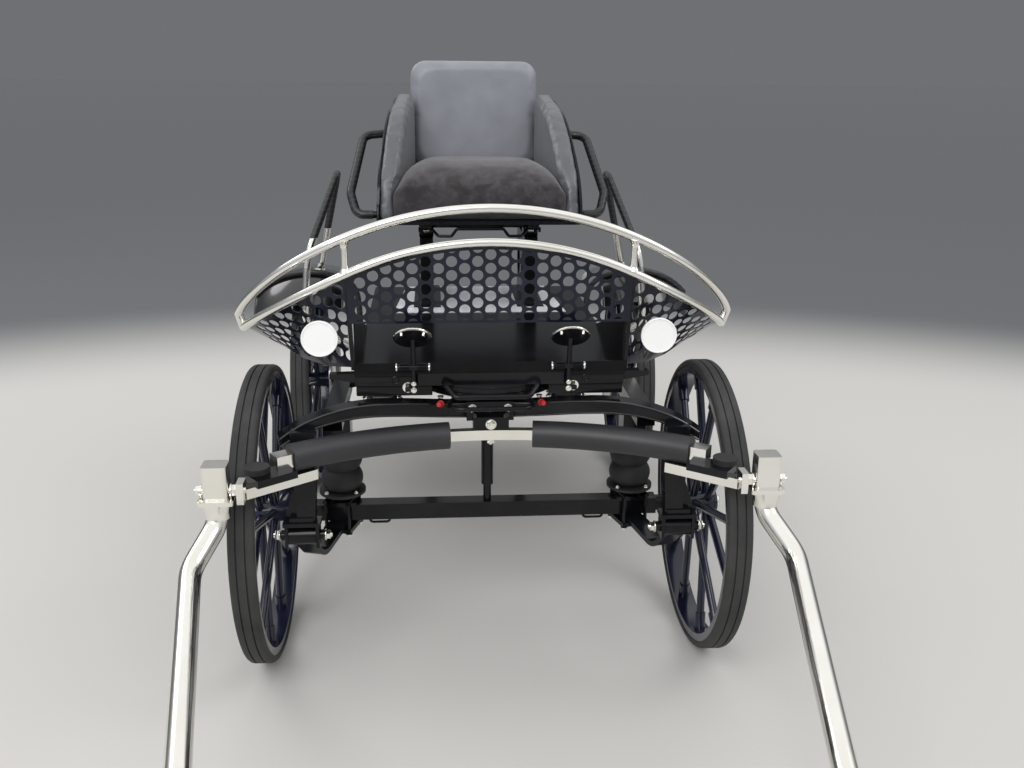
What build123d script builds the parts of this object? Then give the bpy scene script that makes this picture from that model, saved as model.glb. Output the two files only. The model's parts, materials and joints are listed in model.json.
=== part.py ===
from build123d import *
import os
from math import asin, atan2, cos, degrees, hypot, radians, sin

# All sizes are millimetres. X is across the carriage, -Y is the front, Z is up from the ground.
# The origin lies on the ground, halfway between the shaft tips and the rear bumper.

# Cylinders stand on their lower face
on_base = (Align.CENTER, Align.CENTER, Align.MIN)

# Axles and wheels
front_axle_y = 350
rear_axle_y = 1550
axle_z = 400
wheel_radius = 400
front_half_track = 597
rear_half_track = 610
tyre_width = 62
tyre_depth = 27
tyre_groove_x = 11
tyre_groove = 4
rim_width = 58
rim_depth = 20
rim_wall = 4
spoke_count = 12
spoke_radius = 11
spoke_stagger = 20
socket_radius = 15
socket_length = 48
hub_radius = 28
hub_inner = 66
hub_outer = 44
spindle_radius = 17
running_gap = 0.05
beam_size = 45
axle_end_radius = 22
disc_radius = 110
disc_thickness = 6

# Turntable between the fore carriage and the body
ring_radius = 180
ring_inner = 132
ring_height = 13
ring_gap = 1
turntable_z = 785
kingpin_radius = 18

# Splinter bar, bent in plan about a point ahead of the carriage
bar_z = 677
bar_height = 26
bar_depth = 22
bar_bend_radius = 900
bar_centre_y = front_axle_y - 170
sleeve_radius = 34
sleeve_from = 105
sleeve_to = 480
block_to = 516

# Shafts
shaft_radius = 25
pivot_y = front_axle_y - 420
pivot_z = 645
bracket_x = 631
bracket_width = 56
pivot_bolt_radius = 7
carrier_plate_depth = 18

# Fore carriage suspension
hanger_x = 450
bush_x = 470
bush_y = front_axle_y - 250
bush_z = 448
clamp_x = 395
leaf_heading = degrees(atan2(bush_x - clamp_x, front_axle_y - bush_y))
bellows_x = 392
bellows_z = (460, 600)
bellows_radius = 56

# Body
rail_x = 160
floor_z = 842
floor_half = 335
floor_front = front_axle_y - 185
body_back = front_axle_y + 800
sheet = 4
cylinder_x = 205
cylinder_z = 806
post_x = 350
dash_y = front_axle_y - 150
panel_bottom = 961
lower_rail_side = 1082
lower_rail_top = 1158
upper_rail_side = 1170
upper_rail_top = 1240
rail_radius = 11
post_radius = 8
panel_thickness = 3
hole_radius = 13.5
hole_column = 31.6
hole_pitch = 34
hole_margin = 5
tip = (636, front_axle_y + 50, 905)

# Seat
seat_front = front_axle_y + 405
seat_back = front_axle_y + 950
pan_z = 1115
cushion_half = 262
cushion_top = 1287
wing_x = 296
wing_toe_in = 6
pad_depth = 40
box_top = 1060
pedestal_width = 40
pedestal_length = 290
pedestal_wall = 4

# Rear end
deck_z = 500
deck_half = 385
deck_skirt = 22
bumper_y = 1980
bumper_radius = 20
arm_x = 330
arm_y = body_back + 90
arm_z = 420
bellows_back = 170
foot_x = 402
fender_start = 50
fender_sweep = 82
bow_lean = 28
bow_radius = 10


def block(size, centre):
    return Pos(*centre) * Box(*size)


def rod(start, end, radius):
    start, end = Vector(*start), Vector(*end)
    run = end - start
    return Plane(origin=start, z_dir=run) * Cylinder(radius, run.length, align=on_base)


def tube(points, radius, bends):
    path = FilletPolyline(*points, radius=bends)
    return sweep(Plane(origin=path @ 0, z_dir=path % 0) * Circle(radius), path=path)


def ball(centre, radius):
    return Pos(*centre) * Sphere(radius)


def pair(piece):
    return piece + mirror(piece, about=Plane.YZ)


def largest(piece):
    return piece.solids().sort_by(SortBy.VOLUME)[-1]


def ring_about_x(outline, centre):
    return Pos(*centre) * revolve(make_face(Polyline(*outline, close=True)), Axis.X)


def side_plate(outline, x, thickness):
    # An outline in Y and Z, made a plate from x towards larger x.
    points = [(x, y, z) for y, z in outline]
    return extrude(make_face(Polyline(*points, close=True)), amount=thickness, dir=(1, 0, 0))


# Wheels: a channel rim, a hub and spokes whose roots alternate along the hub

def wheel(centre, side):
    rim_outer = wheel_radius - tyre_depth + 8
    rim_inner = rim_outer - rim_depth
    half = rim_width / 2
    floor = rim_inner + rim_wall
    channel = [
        (-half, rim_inner), (half, rim_inner), (half, rim_outer), (half - rim_wall, rim_outer),
        (half - rim_wall, floor), (rim_wall - half, floor), (rim_wall - half, rim_outer), (-half, rim_outer),
    ]
    body = ring_about_x(channel, (0, 0, 0))
    body += rod((-hub_inner, 0, 0), (hub_outer, 0, 0), hub_radius)
    body += rod((hub_outer - 8, 0, 0), (hub_outer, 0, 0), hub_radius + 3)
    body += rod((-hub_inner, 0, 0), (14 - hub_inner, 0, 0), hub_radius + 5)
    for index in range(spoke_count):
        root = spoke_stagger if index % 2 else -spoke_stagger
        end = rim_inner + rim_wall / 2
        lean = root * socket_length / end
        spoke = rod((root, 0, 0), (0, 0, end), spoke_radius)
        spoke += rod((lean, 0, end - socket_length), (0, 0, end), socket_radius)
        body += Rot(360 / spoke_count * (index + 0.5), 0, 0) * spoke
    body -= rod((-hub_inner - 1, 0, 0), (hub_outer - 24, 0, 0), spindle_radius + running_gap)
    if side < 0:
        body = mirror(body, about=Plane.YZ)
    return Pos(*centre) * body


def tyre(centre):
    seat = wheel_radius - tyre_depth + 8 - rim_depth + rim_wall + 0.3
    lip = wheel_radius - tyre_depth + 8.3
    inside = rim_width / 2 - rim_wall - 0.3
    half = tyre_width / 2
    tread = wheel_radius
    near, far = tyre_groove_x - tyre_groove / 2, tyre_groove_x + tyre_groove / 2
    # Right half of the section above the lip: side wall, round shoulder, outer rib, groove, middle rib.
    profile = [
        (half, lip), (half + 0.8, lip + 7), (half, tread - 9), (half - 2, tread - 4.5),
        (half - 6, tread - 1.4), (half - 11, tread), (far, tread), (far - 1, tread - tyre_groove),
        (near + 1, tread - tyre_groove), (near, tread),
    ]
    section = [(-inside, seat), (inside, seat), (inside, lip), *profile]
    section += [(-x, r) for x, r in reversed(profile)]
    section.append((-inside, lip))
    return ring_about_x(section, centre)


def brake_disc(centre, side):
    start = hub_inner
    body = rod((-start - 6, 0, 0), (-start, 0, 0), 46)
    body += rod((-start - 6 - disc_thickness, 0, 0), (-start - 6, 0, 0), disc_radius)
    body -= rod((-start - 13, 0, 0), (-start + 1, 0, 0), 24)
    if side < 0:
        body = mirror(body, about=Plane.YZ)
    return Pos(*centre) * body


# Axles: a square beam, round ends and spindles that run in the hubs

def axle(y, half_track):
    hub_face = half_track - hub_inner
    beam = block((2 * (hub_face - 62), beam_size, beam_size), (0, y, axle_z))
    ends = rod((hub_face - 62, y, axle_z), (hub_face - 3, y, axle_z), axle_end_radius)
    ends += rod((hub_face - 3, y, axle_z), (half_track + hub_outer - 28, y, axle_z), spindle_radius)
    return beam + pair(ends)


def axle_loops():
    # Two flat steel eyes under the beam, where a strap can be hooked in.
    z = axle_z - beam_size / 2
    points = [(268, z + 3), (268, z - 17), (322, z - 17), (322, z + 3)]
    return pair(tube([(x, front_axle_y, height) for x, height in points], 3.5, 9))


def leaf_arms(x_eye, y_eye, z_eye, x_clamp, y_clamp, tail):
    # Two leaves run from the eye down under the beam, in a vertical plane.
    run = hypot(x_clamp - x_eye, y_clamp - y_eye)
    under = axle_z - beam_size / 2 - 7
    outline = FilletPolyline(
        (0, z_eye - 14), (0.28 * run, under - 12), (0.75 * run, under), (run + tail, under), radius=[70, 160]
    )
    heading = Vector(x_clamp - x_eye, y_clamp - y_eye, 0)
    upright = Plane(origin=(x_eye, y_eye, 0), x_dir=heading, z_dir=heading.cross(Vector(0, 0, 1)))
    arm = extrude(upright * trace(outline, line_width=14), amount=25, both=True)
    eye = rod((x_eye - 33, y_eye, z_eye), (x_eye + 33, y_eye, z_eye), 23)
    bore = rod((x_eye - 40, y_eye, z_eye), (x_eye + 40, y_eye, z_eye), 7.3)
    return pair(arm + eye - bore)


def pivot_hanger(x, y, z_eye, top):
    # Two cheeks hold a leaf eye between them on a bolt, under a bridge plate.
    bridge_top = z_eye + 40
    hanger = block((92, 46, 10), (x, y, bridge_top - 5))
    hanger += rod((x - 56, y, z_eye), (x + 56, y, z_eye), 7)
    for side in (-1, 1):
        hanger += block((8, 46, 60), (x + side * 38, y, z_eye + 4))
        hanger += rod((x + side * 42, y, z_eye), (x + side * 53, y, z_eye), 13)
    return hanger + block((58, 34, top - bridge_top), (x, y, (top + bridge_top) / 2))


def bellows(x, y, bottom, top):
    middle = (bottom + top) / 2
    lobe = (top - bottom - 16) / 4
    body = Pos(x, y, bottom) * Cylinder(62, 8, align=on_base)
    body += Pos(x, y, top - 8) * Cylinder(50, 8, align=on_base)
    profile = make_face(
        Line((0, bottom + 8), (38, bottom + 8))
        + ThreePointArc((38, bottom + 8), (bellows_radius, bottom + 8 + lobe), (44, middle))
        + ThreePointArc((44, middle), (bellows_radius, top - 8 - lobe), (38, top - 8))
        + Line((38, top - 8), (0, top - 8))
        + Line((0, top - 8), (0, bottom + 8))
    )
    body += Pos(x, y, 0) * revolve(Plane.XZ * profile, Axis.Z)
    return pair(body)


def axle_clamps(x, y, post_top, heading):
    # A saddle with a post on the beam, and a plate under the leaves, held by four bolt legs.
    top = beam_size / 2
    under = -beam_size / 2 - 14
    saddle_top = top + 12
    post_height = post_top - axle_z - saddle_top
    clamp = block((78, 74, 12), (0, 0, top + 6))
    clamp += block((44, 40, post_height), (0, 0, saddle_top + post_height / 2))
    bolts = block((78, 96, 12), (0, 0, under - 6))
    for across in (-32, 32):
        bolts += rod((across, -48, saddle_top + 4), (across, 48, saddle_top + 4), 6)
        for along in (-41, 41):
            bolts += rod((across, along, under - 18), (across, along, saddle_top + 3), 5)
    return pair(Pos(x, y, axle_z) * (clamp + Rot(0, 0, heading) * bolts))


# Fore carriage

def turntable_base():
    plate = Pos(0, 0, -12) * Cylinder(ring_radius + 4, 12, align=on_base)
    ring = Cylinder(ring_radius, ring_height, align=on_base) - Cylinder(ring_inner, 40)
    hole = Cylinder(kingpin_radius + running_gap, 60)
    return Pos(0, front_axle_y, turntable_z) * (plate + ring - hole)


def gull_arm(start, end, crown, width):
    # One half of a gull-wing arm: it bows up from the middle to a crown, then down to its slimmer tip.
    heading = Vector(end[0] - start[0], end[1] - start[1], 0)
    run = heading.length
    line = [(0, start[2]), (0.28 * run, start[2] + 10), (0.6 * run, crown)]
    line += [(0.84 * run, crown - 20), (run, end[2])]
    depths = [17, 16, 14, 12, 10]
    upper = Spline(*[(along, z + half) for (along, z), half in zip(line, depths)])
    lower = Spline(*[(along, z - half) for (along, z), half in zip(line, depths)])
    profile = make_face(upper + lower + Line(upper @ 0, lower @ 0) + Line(upper @ 1, lower @ 1))
    upright = Plane(origin=(start[0], start[1], 0), x_dir=heading, z_dir=heading.cross(Vector(0, 0, 1)))
    return extrude(upright * profile, amount=width / 2, both=True)


def fore_frame():
    y = front_axle_y
    front = gull_arm((0, y - 95, 726), (520, y - 225, 690), 752, 50)
    rear = gull_arm((0, y + 112, 722), (420, y + 140, 706), 748, 44)
    link = block((46, 330, 40), (bellows_x, y - 20, 717))
    hang = block((60, 70, 705 - bellows_z[1]), (bellows_x, y - 12, (705 + bellows_z[1]) / 2))
    frame = pair(front + rear + link + hang)
    frame += block((120, 280, 50), (0, y, 727))
    frame += block((150, 150, 34), (0, y, 756))
    frame += rod((0, y, 704), (0, y, 640), 20)
    frame += block((90, 80, 40), (0, y - 140, 704))
    frame += tube([(-66, y - 60, 762), (-118, y - 225, 762), (118, y - 225, 762), (66, y - 60, 762)], 6, 36)
    above = block((1400, 1400, 100), (0, y, turntable_z + 38))
    hole = Pos(0, y, 764) * Cylinder(kingpin_radius + running_gap, 120)
    return frame - above - hole - splinter_bar()


def bar_section(width, height, start, end):
    # A stretch of the bent bar between two distances from the middle.
    centre_y = bar_centre_y - bar_bend_radius
    first = degrees(asin(start / bar_bend_radius))
    last = degrees(asin(end / bar_bend_radius))
    face = Plane.YZ.offset(0) * Pos(centre_y + bar_bend_radius, bar_z, 0) * Rectangle(width, height)
    axis = Axis((0, centre_y, 0), (0, 0, 1))
    return revolve(face, axis, revolution_arc=last - first).rotate(axis, first)


def splinter_bar():
    bar = bar_section(bar_depth, bar_height, -sleeve_to - 2, sleeve_to + 2)
    ends = bar_section(40, bar_height + 6, sleeve_to + 2, block_to)
    return bar + pair(ends)


def around_bar(section):
    centre_y = bar_centre_y - bar_bend_radius
    first = degrees(asin(sleeve_from / bar_bend_radius))
    last = degrees(asin(sleeve_to / bar_bend_radius))
    face = Plane.YZ * Pos(bar_centre_y, bar_z, 0) * section
    axis = Axis((0, centre_y, 0), (0, 0, 1))
    return revolve(face, axis, revolution_arc=last - first).rotate(axis, first)


def splinter_sleeves():
    return pair(around_bar(Circle(sleeve_radius) - Rectangle(bar_depth + 0.6, bar_height + 0.6)))


def carrier_line(offset, start, end):
    # Corners of a strip along a shaft carrier, which runs out and forward under the bar's end.
    inner, outer = Vector(428, front_axle_y - 288), Vector(586, front_axle_y - 408)
    along = (outer - inner).normalized()
    across = Vector(-along.Y, along.X)
    return [
        inner + along * start + across * offset, inner + along * end + across * offset,
        inner + along * end - across * offset, inner + along * start - across * offset,
    ]


def carrier_strip(half_width, start, end, bottom, top):
    corners = [(p.X, p.Y, bottom) for p in carrier_line(half_width, start, end)]
    return extrude(make_face(Polyline(*corners, close=True)), amount=top - bottom, dir=(0, 0, 1))


def shaft_carriers():
    bottom = bar_z - sleeve_radius - 25
    inner_face = bracket_x - bracket_width / 2
    outer_face = bracket_x + bracket_width / 2
    carrier = carrier_strip(15, 0, 186, bottom, bottom + 25)
    carrier += block((16, 40, 50), (577, pivot_y, pivot_z - 2))
    # Columns: start, end, radius of the pin, its inner collar and its outer nut.
    stretches = [
        (566, outer_face + 14, pivot_bolt_radius),
        (584, inner_face - 2, 12),
        (outer_face + 3, outer_face + 12, 12),
    ]
    for start, end, radius in stretches:
        carrier += rod((start, pivot_y, pivot_z), (end, pivot_y, pivot_z), radius)
    return pair(carrier)


def carrier_plates():
    bottom = bar_z - sleeve_radius
    return pair(carrier_strip(30, 62, 165, bottom, bottom + carrier_plate_depth))


def buffer_discs():
    bottom = bar_z - sleeve_radius + carrier_plate_depth
    disc = Pos(553, front_axle_y - 352, bottom) * Cylinder(30, 14, align=on_base)
    return pair(disc)


def hanger_legs():
    x, y = hanger_x + 8, bush_y - 13
    outline = [(x - 21, 488), (x + 22, 488), (x + 27, 640), (x + 29, 722), (x - 29, 722), (x - 29, 610)]
    leg = extrude(make_face(Polyline(*[(x, y, z) for x, z in outline], close=True)), amount=34, dir=(0, 1, 0))
    gusset = [(x + 20, 488), (bush_x + 45, 488), (x + 24, 585)]
    gusset = make_face(Polyline(*[(gx, y + 14, z) for gx, z in gusset], close=True))
    leg += extrude(gusset, amount=6, dir=(0, 1, 0))
    leg -= pair(around_bar(Circle(sleeve_radius + 0.5))) + fore_frame()
    return pair(pivot_hanger(bush_x, bush_y, bush_z, 500) + largest(leg))


def centre_damper():
    body = rod((0, front_axle_y, 640), (0, front_axle_y, 470), 16.5)
    body += rod((0, front_axle_y, 470), (0, front_axle_y, axle_z + beam_size / 2), 11)
    return body


# Shafts: polished tubes that drop from their brackets and run down to tips on the ground

def shaft_route(side):
    y = front_axle_y
    stations = [
        (bracket_x, y - 424, pivot_z - 24), (bracket_x, y - 424, 572),
        (676, y - 540, 508), (592, y - 1065, 372),
        (498, y - 1700, 198), (368, y - 2325, shaft_radius),
    ]
    return [(side * x, y, z) for x, y, z in stations]


def shaft_tube(side):
    points = shaft_route(side)
    return tube(points, shaft_radius, [60, 110, 900, 900]) + ball(points[-1], shaft_radius)


def shaft_bracket(side):
    x = bracket_x
    box = block((bracket_width, 50, 80), (x, pivot_y, pivot_z + 25))
    box = fillet(box.edges().filter_by(Axis.Z), 8)
    box -= block((bracket_width - 12, 38, 92), (x, pivot_y, pivot_z + 17))
    flange = block((80, 62, 10), (x, pivot_y - 4, pivot_z - 19))
    flange = fillet(flange.edges().filter_by(Axis.Z), 6)
    collar = rod((x, pivot_y - 4, pivot_z - 24), (x, pivot_y - 4, pivot_z - 34), shaft_radius + 5)
    collar -= rod((x, pivot_y - 4, pivot_z - 20), (x, pivot_y - 4, pivot_z - 50), shaft_radius + 0.3)
    bore = rod((x - 60, pivot_y, pivot_z), (x + 60, pivot_y, pivot_z), pivot_bolt_radius + running_gap)
    bracket = box + flange + collar - bore
    return bracket if side > 0 else mirror(bracket, about=Plane.YZ)


# Body frame and footwell

def turntable_top():
    bottom = turntable_z + ring_height + ring_gap
    ring = Cylinder(ring_radius, ring_height, align=on_base) - Cylinder(ring_inner, 40)
    ring = Pos(0, front_axle_y, bottom) * ring
    cross = block((2 * ring_radius - 6, 70, ring_height), (0, front_axle_y, bottom + ring_height / 2))
    pin = rod((0, front_axle_y, 705), (0, front_axle_y, bottom + 4), kingpin_radius)
    return ring + cross + pin


def upper_frame():
    bottom = turntable_z + 2 * ring_height + ring_gap
    length = body_back - floor_front
    centre = (body_back + floor_front) / 2
    rail = block((40, length, floor_z - bottom), (rail_x, centre, (floor_z + bottom) / 2))
    frame = pair(rail)
    for y in (floor_front + 15, front_axle_y + 120, front_axle_y + 480, body_back - 20):
        frame += block((2 * rail_x, 30, floor_z - bottom), (0, y, (floor_z + bottom) / 2))
    return frame


def footwell():
    length = body_back - floor_front
    floor = block((2 * floor_half, length, sheet), (0, (body_back + floor_front) / 2, floor_z + sheet / 2))
    lip = block((2 * floor_half, sheet, 24), (0, floor_front + sheet / 2, floor_z + sheet + 12))
    top = floor_z + sheet
    outline = [(dash_y, top), (dash_y, panel_bottom), (dash_y + 60, panel_bottom), (dash_y + 430, top)]
    cheek = side_plate(outline, floor_half - sheet, sheet)
    return floor + lip + pair(cheek)


def seat_box():
    # Two hollow box pedestals carry the slides; round windows lighten their sides.
    bottom = floor_z + sheet
    height = box_top - bottom
    middle = front_axle_y + 650
    pedestal = block((pedestal_width, pedestal_length, height), (rail_x, middle, bottom + height / 2))
    pedestal = fillet(pedestal.edges().filter_by(Axis.Z), 6)
    inside = (pedestal_width - 2 * pedestal_wall, pedestal_length - 2 * pedestal_wall, height)
    pedestal -= block(inside, (rail_x, middle, bottom + height / 2 - pedestal_wall))
    for offset in (-75, 75):
        y, z = middle + offset, bottom + height / 2
        pedestal -= rod((0, y, z), (2 * rail_x, y, z), 48)
    foot = block((pedestal_width + 36, pedestal_length + 20, 5), (rail_x, middle, bottom + 2.5))
    pedestal += fillet(foot.edges().filter_by(Axis.Z), 10) - block(inside, (rail_x, middle, bottom + 2.5))
    return pair(pedestal)


# Dash: perforated sheets under two stainless rails

def rail_arc_radius(side_z, top_z):
    rise = top_z - side_z
    return (post_x ** 2 + rise ** 2) / (2 * rise)


def rail_paths(side_z, top_z, end):
    # From the middle along an arc in the dash's plane, then a tangent arc out and back to the tip.
    bend = rail_arc_radius(side_z, top_z)
    angle = asin(post_x / bend)
    middle = (bend * sin(angle / 2), dash_y, top_z - bend * (1 - cos(angle / 2)))
    first = ThreePointArc((0, dash_y, top_z), middle, (post_x, dash_y, side_z))
    second = TangentArc((post_x, dash_y, side_z), end, tangent=(cos(angle), 0, -sin(angle)))
    return first, second


def rail_half(side_z, top_z, end):
    first, second = rail_paths(side_z, top_z, end)
    return sweep(Plane(origin=(0, dash_y, top_z), z_dir=(1, 0, 0)) * Circle(rail_radius), path=first + second)


def dash_rails():
    high_end = (tip[0] + 6, tip[1] - 22, tip[2] + 42)
    lower = rail_half(lower_rail_side, lower_rail_top, tip)
    upper = rail_half(upper_rail_side, upper_rail_top, high_end)
    knuckle = rod(tip, high_end, rail_radius) + ball(tip, rail_radius) + ball(high_end, rail_radius)
    post = rod((post_x, dash_y, lower_rail_side), (post_x, dash_y, upper_rail_side), post_radius)
    return pair(lower + upper + knuckle + post)


def strut_x(z):
    # The struts lean out from the floor's edge to the rail.
    return floor_half + 4.5 + (post_x - floor_half - 4.5) * (z - floor_z) / (lower_rail_side - floor_z)


def hole_rows(length, first, last):
    # Places of the holes in a sheet: columns along its length, every second one half a pitch lower.
    columns = int(length / hole_column)
    for column in range(columns + 1):
        start = first + (hole_pitch / 2 if column % 2 else 0)
        for row in range(int((last - start) / hole_pitch) + 1):
            yield column * hole_column, start + row * hole_pitch


def dash_panel():
    side = strut_x(panel_bottom)
    right, left = (post_x, 0, lower_rail_side), (-post_x, 0, lower_rail_side)
    arc_top = ThreePointArc(right, (0, 0, lower_rail_top), left)
    rim = Polyline(left, (-side, 0, panel_bottom), (side, 0, panel_bottom), right)
    outline = make_face(arc_top + rim)
    # The holes keep a plain border along the rail, the struts and the lower edge.
    bend = rail_arc_radius(lower_rail_side, lower_rail_top) - rail_radius - hole_margin
    depth = lower_rail_top - rail_radius - hole_margin - bend
    field = extrude(Plane.XZ * Pos(0, depth, 0) * Circle(bend), amount=20, both=True)
    low = panel_bottom + hole_margin
    field &= block((2 * (side - 10), 60, 300), (0, 0, low + 150))
    half_row = 10 * hole_column
    holes = [
        rod((x - half_row, -20, low + z - 6), (x - half_row, 20, low + z - 6), hole_radius)
        for x, z in hole_rows(2 * half_row, 0, 210)
    ]
    panel = extrude(outline, amount=panel_thickness / 2, both=True)
    cuts = [piece for piece in (field & hole for hole in holes) if piece is not None]
    return largest(Pos(0, dash_y, 0) * (panel - cuts) - dash_rails())


def dash_struts():
    outline = [
        (post_x - 5, lower_rail_side), (post_x + 5, lower_rail_side),
        (floor_half + 9, floor_z), (floor_half, floor_z),
    ]
    points = [(x, dash_y + panel_thickness / 2, z) for x, z in outline]
    strut = extrude(make_face(Polyline(*points, close=True)), amount=24, dir=(0, 1, 0))
    return pair(largest(strut - dash_rails()))


def wing_holes(edges):
    # Cutters square to a ruled sheet, given its upper and lower edge points from the post to the tip.
    middles = [(upper + lower) * 0.5 for upper, lower in edges]
    spans = [(after - before).length for before, after in zip(middles, middles[1:])]
    cutters = []
    start = 26
    for along, down in hole_rows(sum(spans) - 60, rail_radius + hole_radius + 3, 240):
        place, index = along + start, 0
        while place > spans[index]:
            place -= spans[index]
            index += 1
        share = place / spans[index]
        (upper_a, lower_a), (upper_b, lower_b) = edges[index], edges[index + 1]
        upper = upper_a + (upper_b - upper_a) * share
        lower = lower_a + (lower_b - lower_a) * share
        if down + hole_radius + hole_margin > (lower - upper).length:
            continue
        centre = upper + (lower - upper).normalized() * down
        normal = (lower - upper).cross(middles[index + 1] - middles[index])
        cutters.append(Plane(origin=centre, z_dir=normal) * Cylinder(hole_radius, 16))
    return cutters


def dash_wings():
    # Columns: place along the rail, then x, y, z of the lower edge, y counted from the front axle.
    stations = [
        (0.00, 326, -150, 850),
        (0.28, 410, -62, 828),
        (0.52, 480, 26, 824),
        (0.74, 536, 66, 846),
        (0.96, 616, 106, 876),
    ]
    rail = rail_paths(lower_rail_side, lower_rail_top, tip)[1]
    sections = []
    for place, x, y, z in stations:
        upper = rail @ place
        lower = Vector(x, front_axle_y + y, z)
        shift = (upper - lower).cross(Vector(1, 0.6, 0)).normalized() * panel_thickness
        corners = [upper, lower, lower + shift, upper + shift]
        sections.append(make_face(Polyline(*[tuple(p) for p in corners], close=True)))
    wing = loft(sections, ruled=True) - dash_rails() - dash_struts()
    wing -= block((2 * post_x, 40, 300), (0, dash_y, 1000))
    wing = largest(wing)
    edges = [(rail @ place, Vector(x, front_axle_y + y, z)) for place, x, y, z in stations]
    return pair(largest(wing - wing_holes(edges)))


def reflectors():
    x, y, z = 415, front_axle_y - 178, 931
    disc = rod((x, y, z), (x, y + 8, z), 44)
    stalk = rod((x, y + 8, z), (x, front_axle_y - 40, z), 7) - dash_wings()
    return pair(disc + stalk.solids().sort_by(Axis.Y)[0])


def pedals():
    x, y = 190, front_axle_y - 196
    pedal = Pos(x, y - 17, 942) * Rot(-42, 0, 0) * Cylinder(45, 9)
    pedal += rod((x, y - 15, 938), (x, y, 862), 6)
    pedal += rod((x - 43, y, 862), (x + 43, y, 862), 8)
    pedal += rod((x, y, 862), (x, y, cylinder_z), 6)
    pedal += rod((x - 6, y, cylinder_z), (cylinder_x + 6, y, cylinder_z), 6)
    pedal += rod((cylinder_x, y, cylinder_z), (cylinder_x, front_axle_y - 180, cylinder_z), 5)
    pedal += block((50, y - floor_front + 15, 16), (x, (y + floor_front - 15) / 2 + 7.5, 862))
    return pair(pedal)


def brake_cylinders():
    y = front_axle_y
    barrel = rod((cylinder_x, y - 180, cylinder_z), (cylinder_x, y - 20, cylinder_z), 13)
    reach = cylinder_x - rail_x - 20
    bracket = block((reach, 40, 14), (rail_x + 20 + reach / 2, y - 100, cylinder_z + 13))
    return pair(barrel + bracket)


# Seat

def seat_slide():
    slide = block((34, 420, 21), (rail_x, front_axle_y + 650, pan_z - 10.5))
    for y in (front_axle_y + 560, front_axle_y + 760):
        slide += block((44, 60, 36), (rail_x, y, box_top + 18))
    front = seat_front + 8
    bar = seat_front + 70
    handle = tube([(-62, bar, 1104), (-62, front, 1104), (62, front, 1104), (62, bar, 1104)], 6, 24)
    return pair(slide) + handle + block((2 * rail_x, 24, 12), (0, bar, 1104))


def wing_outline(grow, front, back):
    # Side of the seat in Y and Z: the crest sweeps from the low front up to the top of the back.
    bottom = pan_z + 10
    crest = [(front, 1150), (seat_front + 28, 1238), (seat_front + 108, 1324), (seat_front + 215, 1403),
             (seat_front + 320, 1446), (back, 1468)]
    return [(front - grow, bottom), [(y - grow, z + grow) for y, z in crest], (back, bottom)]


def wing_plate(outline, x, thickness):
    start, crest, end = outline
    sweep_line = Spline(*[(x, y, z) for y, z in crest])
    first = Line((x, *start), sweep_line @ 0)
    last = Polyline(sweep_line @ 1, (x, *end), (x, *start))
    return extrude(make_face(first + sweep_line + last), amount=thickness, dir=(1, 0, 0))


def toed_in(piece):
    # The sides of the seat run in a little towards the back.
    return Pos(wing_x, seat_front, 0) * Rot(0, 0, wing_toe_in) * Pos(0, -seat_front, 0) * piece


def seat_shell():
    pan = block((2 * wing_x + 16, seat_back - seat_front, 10), (0, (seat_back + seat_front) / 2, pan_z + 5))
    pan = fillet(pan.edges().filter_by(Axis.Z), 25)
    back = block((400, 10, 420), (0, seat_back - 10, 1330))
    back = fillet(back.edges().filter_by(Axis.Y).sort_by(Axis.Z)[-2:], 55)
    side = wing_plate(wing_outline(-12, seat_front, seat_back - 25), 0, 8)
    return pan + back + pair(toed_in(side))


def seat_side_pads():
    pad = wing_plate(wing_outline(0, seat_front + 4, seat_back - 86), -pad_depth, pad_depth)
    inner = pad.faces().sort_by(Axis.X)[0]
    return pair(toed_in(fillet(inner.edges(), 12)))


def seat_cushion():
    # A trapezoid between the side pads, crowned across and along.
    front, back = seat_front + 10, seat_back - 84
    near, far = cushion_half - 8, cushion_half - 56
    corners = [(near, front), (far, back), (-far, back), (-near, front)]
    outline = Plane.XY.offset(pan_z + 10) * make_face(Polyline(*corners, close=True))
    cushion = extrude(outline, amount=180, dir=(0, 0, 1))
    cushion = fillet(cushion.edges().filter_by(lambda e: e.length > 179 and abs((e % 0.5).Z) > 0.9), 30)
    across = rod((0, front - 50, cushion_top - 386), (0, back + 50, cushion_top - 386), 386)
    along = rod((-400, 960, cushion_top - 560), (400, 960, cushion_top - 560), 560)
    return cushion & across & along


def seat_backrest():
    back = block((426, 66, 350), (0, seat_back - 48, 1400))
    back = fillet(back.edges().filter_by(Axis.Y), 45)
    return fillet(back.edges(), 16)


def seat_grab_bars():
    y = front_axle_y
    points = [
        (280, y + 500, 1132), (366, y + 500, 1132), (386, y + 545, 1190),
        (354, y + 765, 1345), (260, y + 790, 1352),
    ]
    return pair(largest(tube(points, 11, [30, 60, 40]) - seat_shell() - seat_side_pads()))


# Rear end

def rear_frame():
    level = deck_z - 15
    corners = [(body_back + 15, floor_z), (body_back + 15, level), (bumper_y - 10, level)]
    path = FilletPolyline(*corners, radius=30)
    upright = Plane(origin=(0, 0, 0), x_dir=(0, 1, 0), z_dir=(1, 0, 0))
    frame = pair(Pos(rail_x, 0, 0) * extrude(upright * trace(path, line_width=30), amount=20, both=True))
    for y, reach in ((arm_y, foot_x), (rear_axle_y + bellows_back, 350), (bumper_y - 60, 350)):
        frame += block((2 * reach, 30, 30), (0, y, level))
    frame += pair(block((30, 116, 30), (foot_x, arm_y + 40, level)))
    pad = Pos(arm_x, rear_axle_y + bellows_back, level) * Cylinder(50, 30)
    frame += pair(pad + pivot_hanger(arm_x, arm_y, arm_z, level - 5))
    return frame + rod((-400, bumper_y, level), (400, bumper_y, level), bumper_radius)


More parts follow.
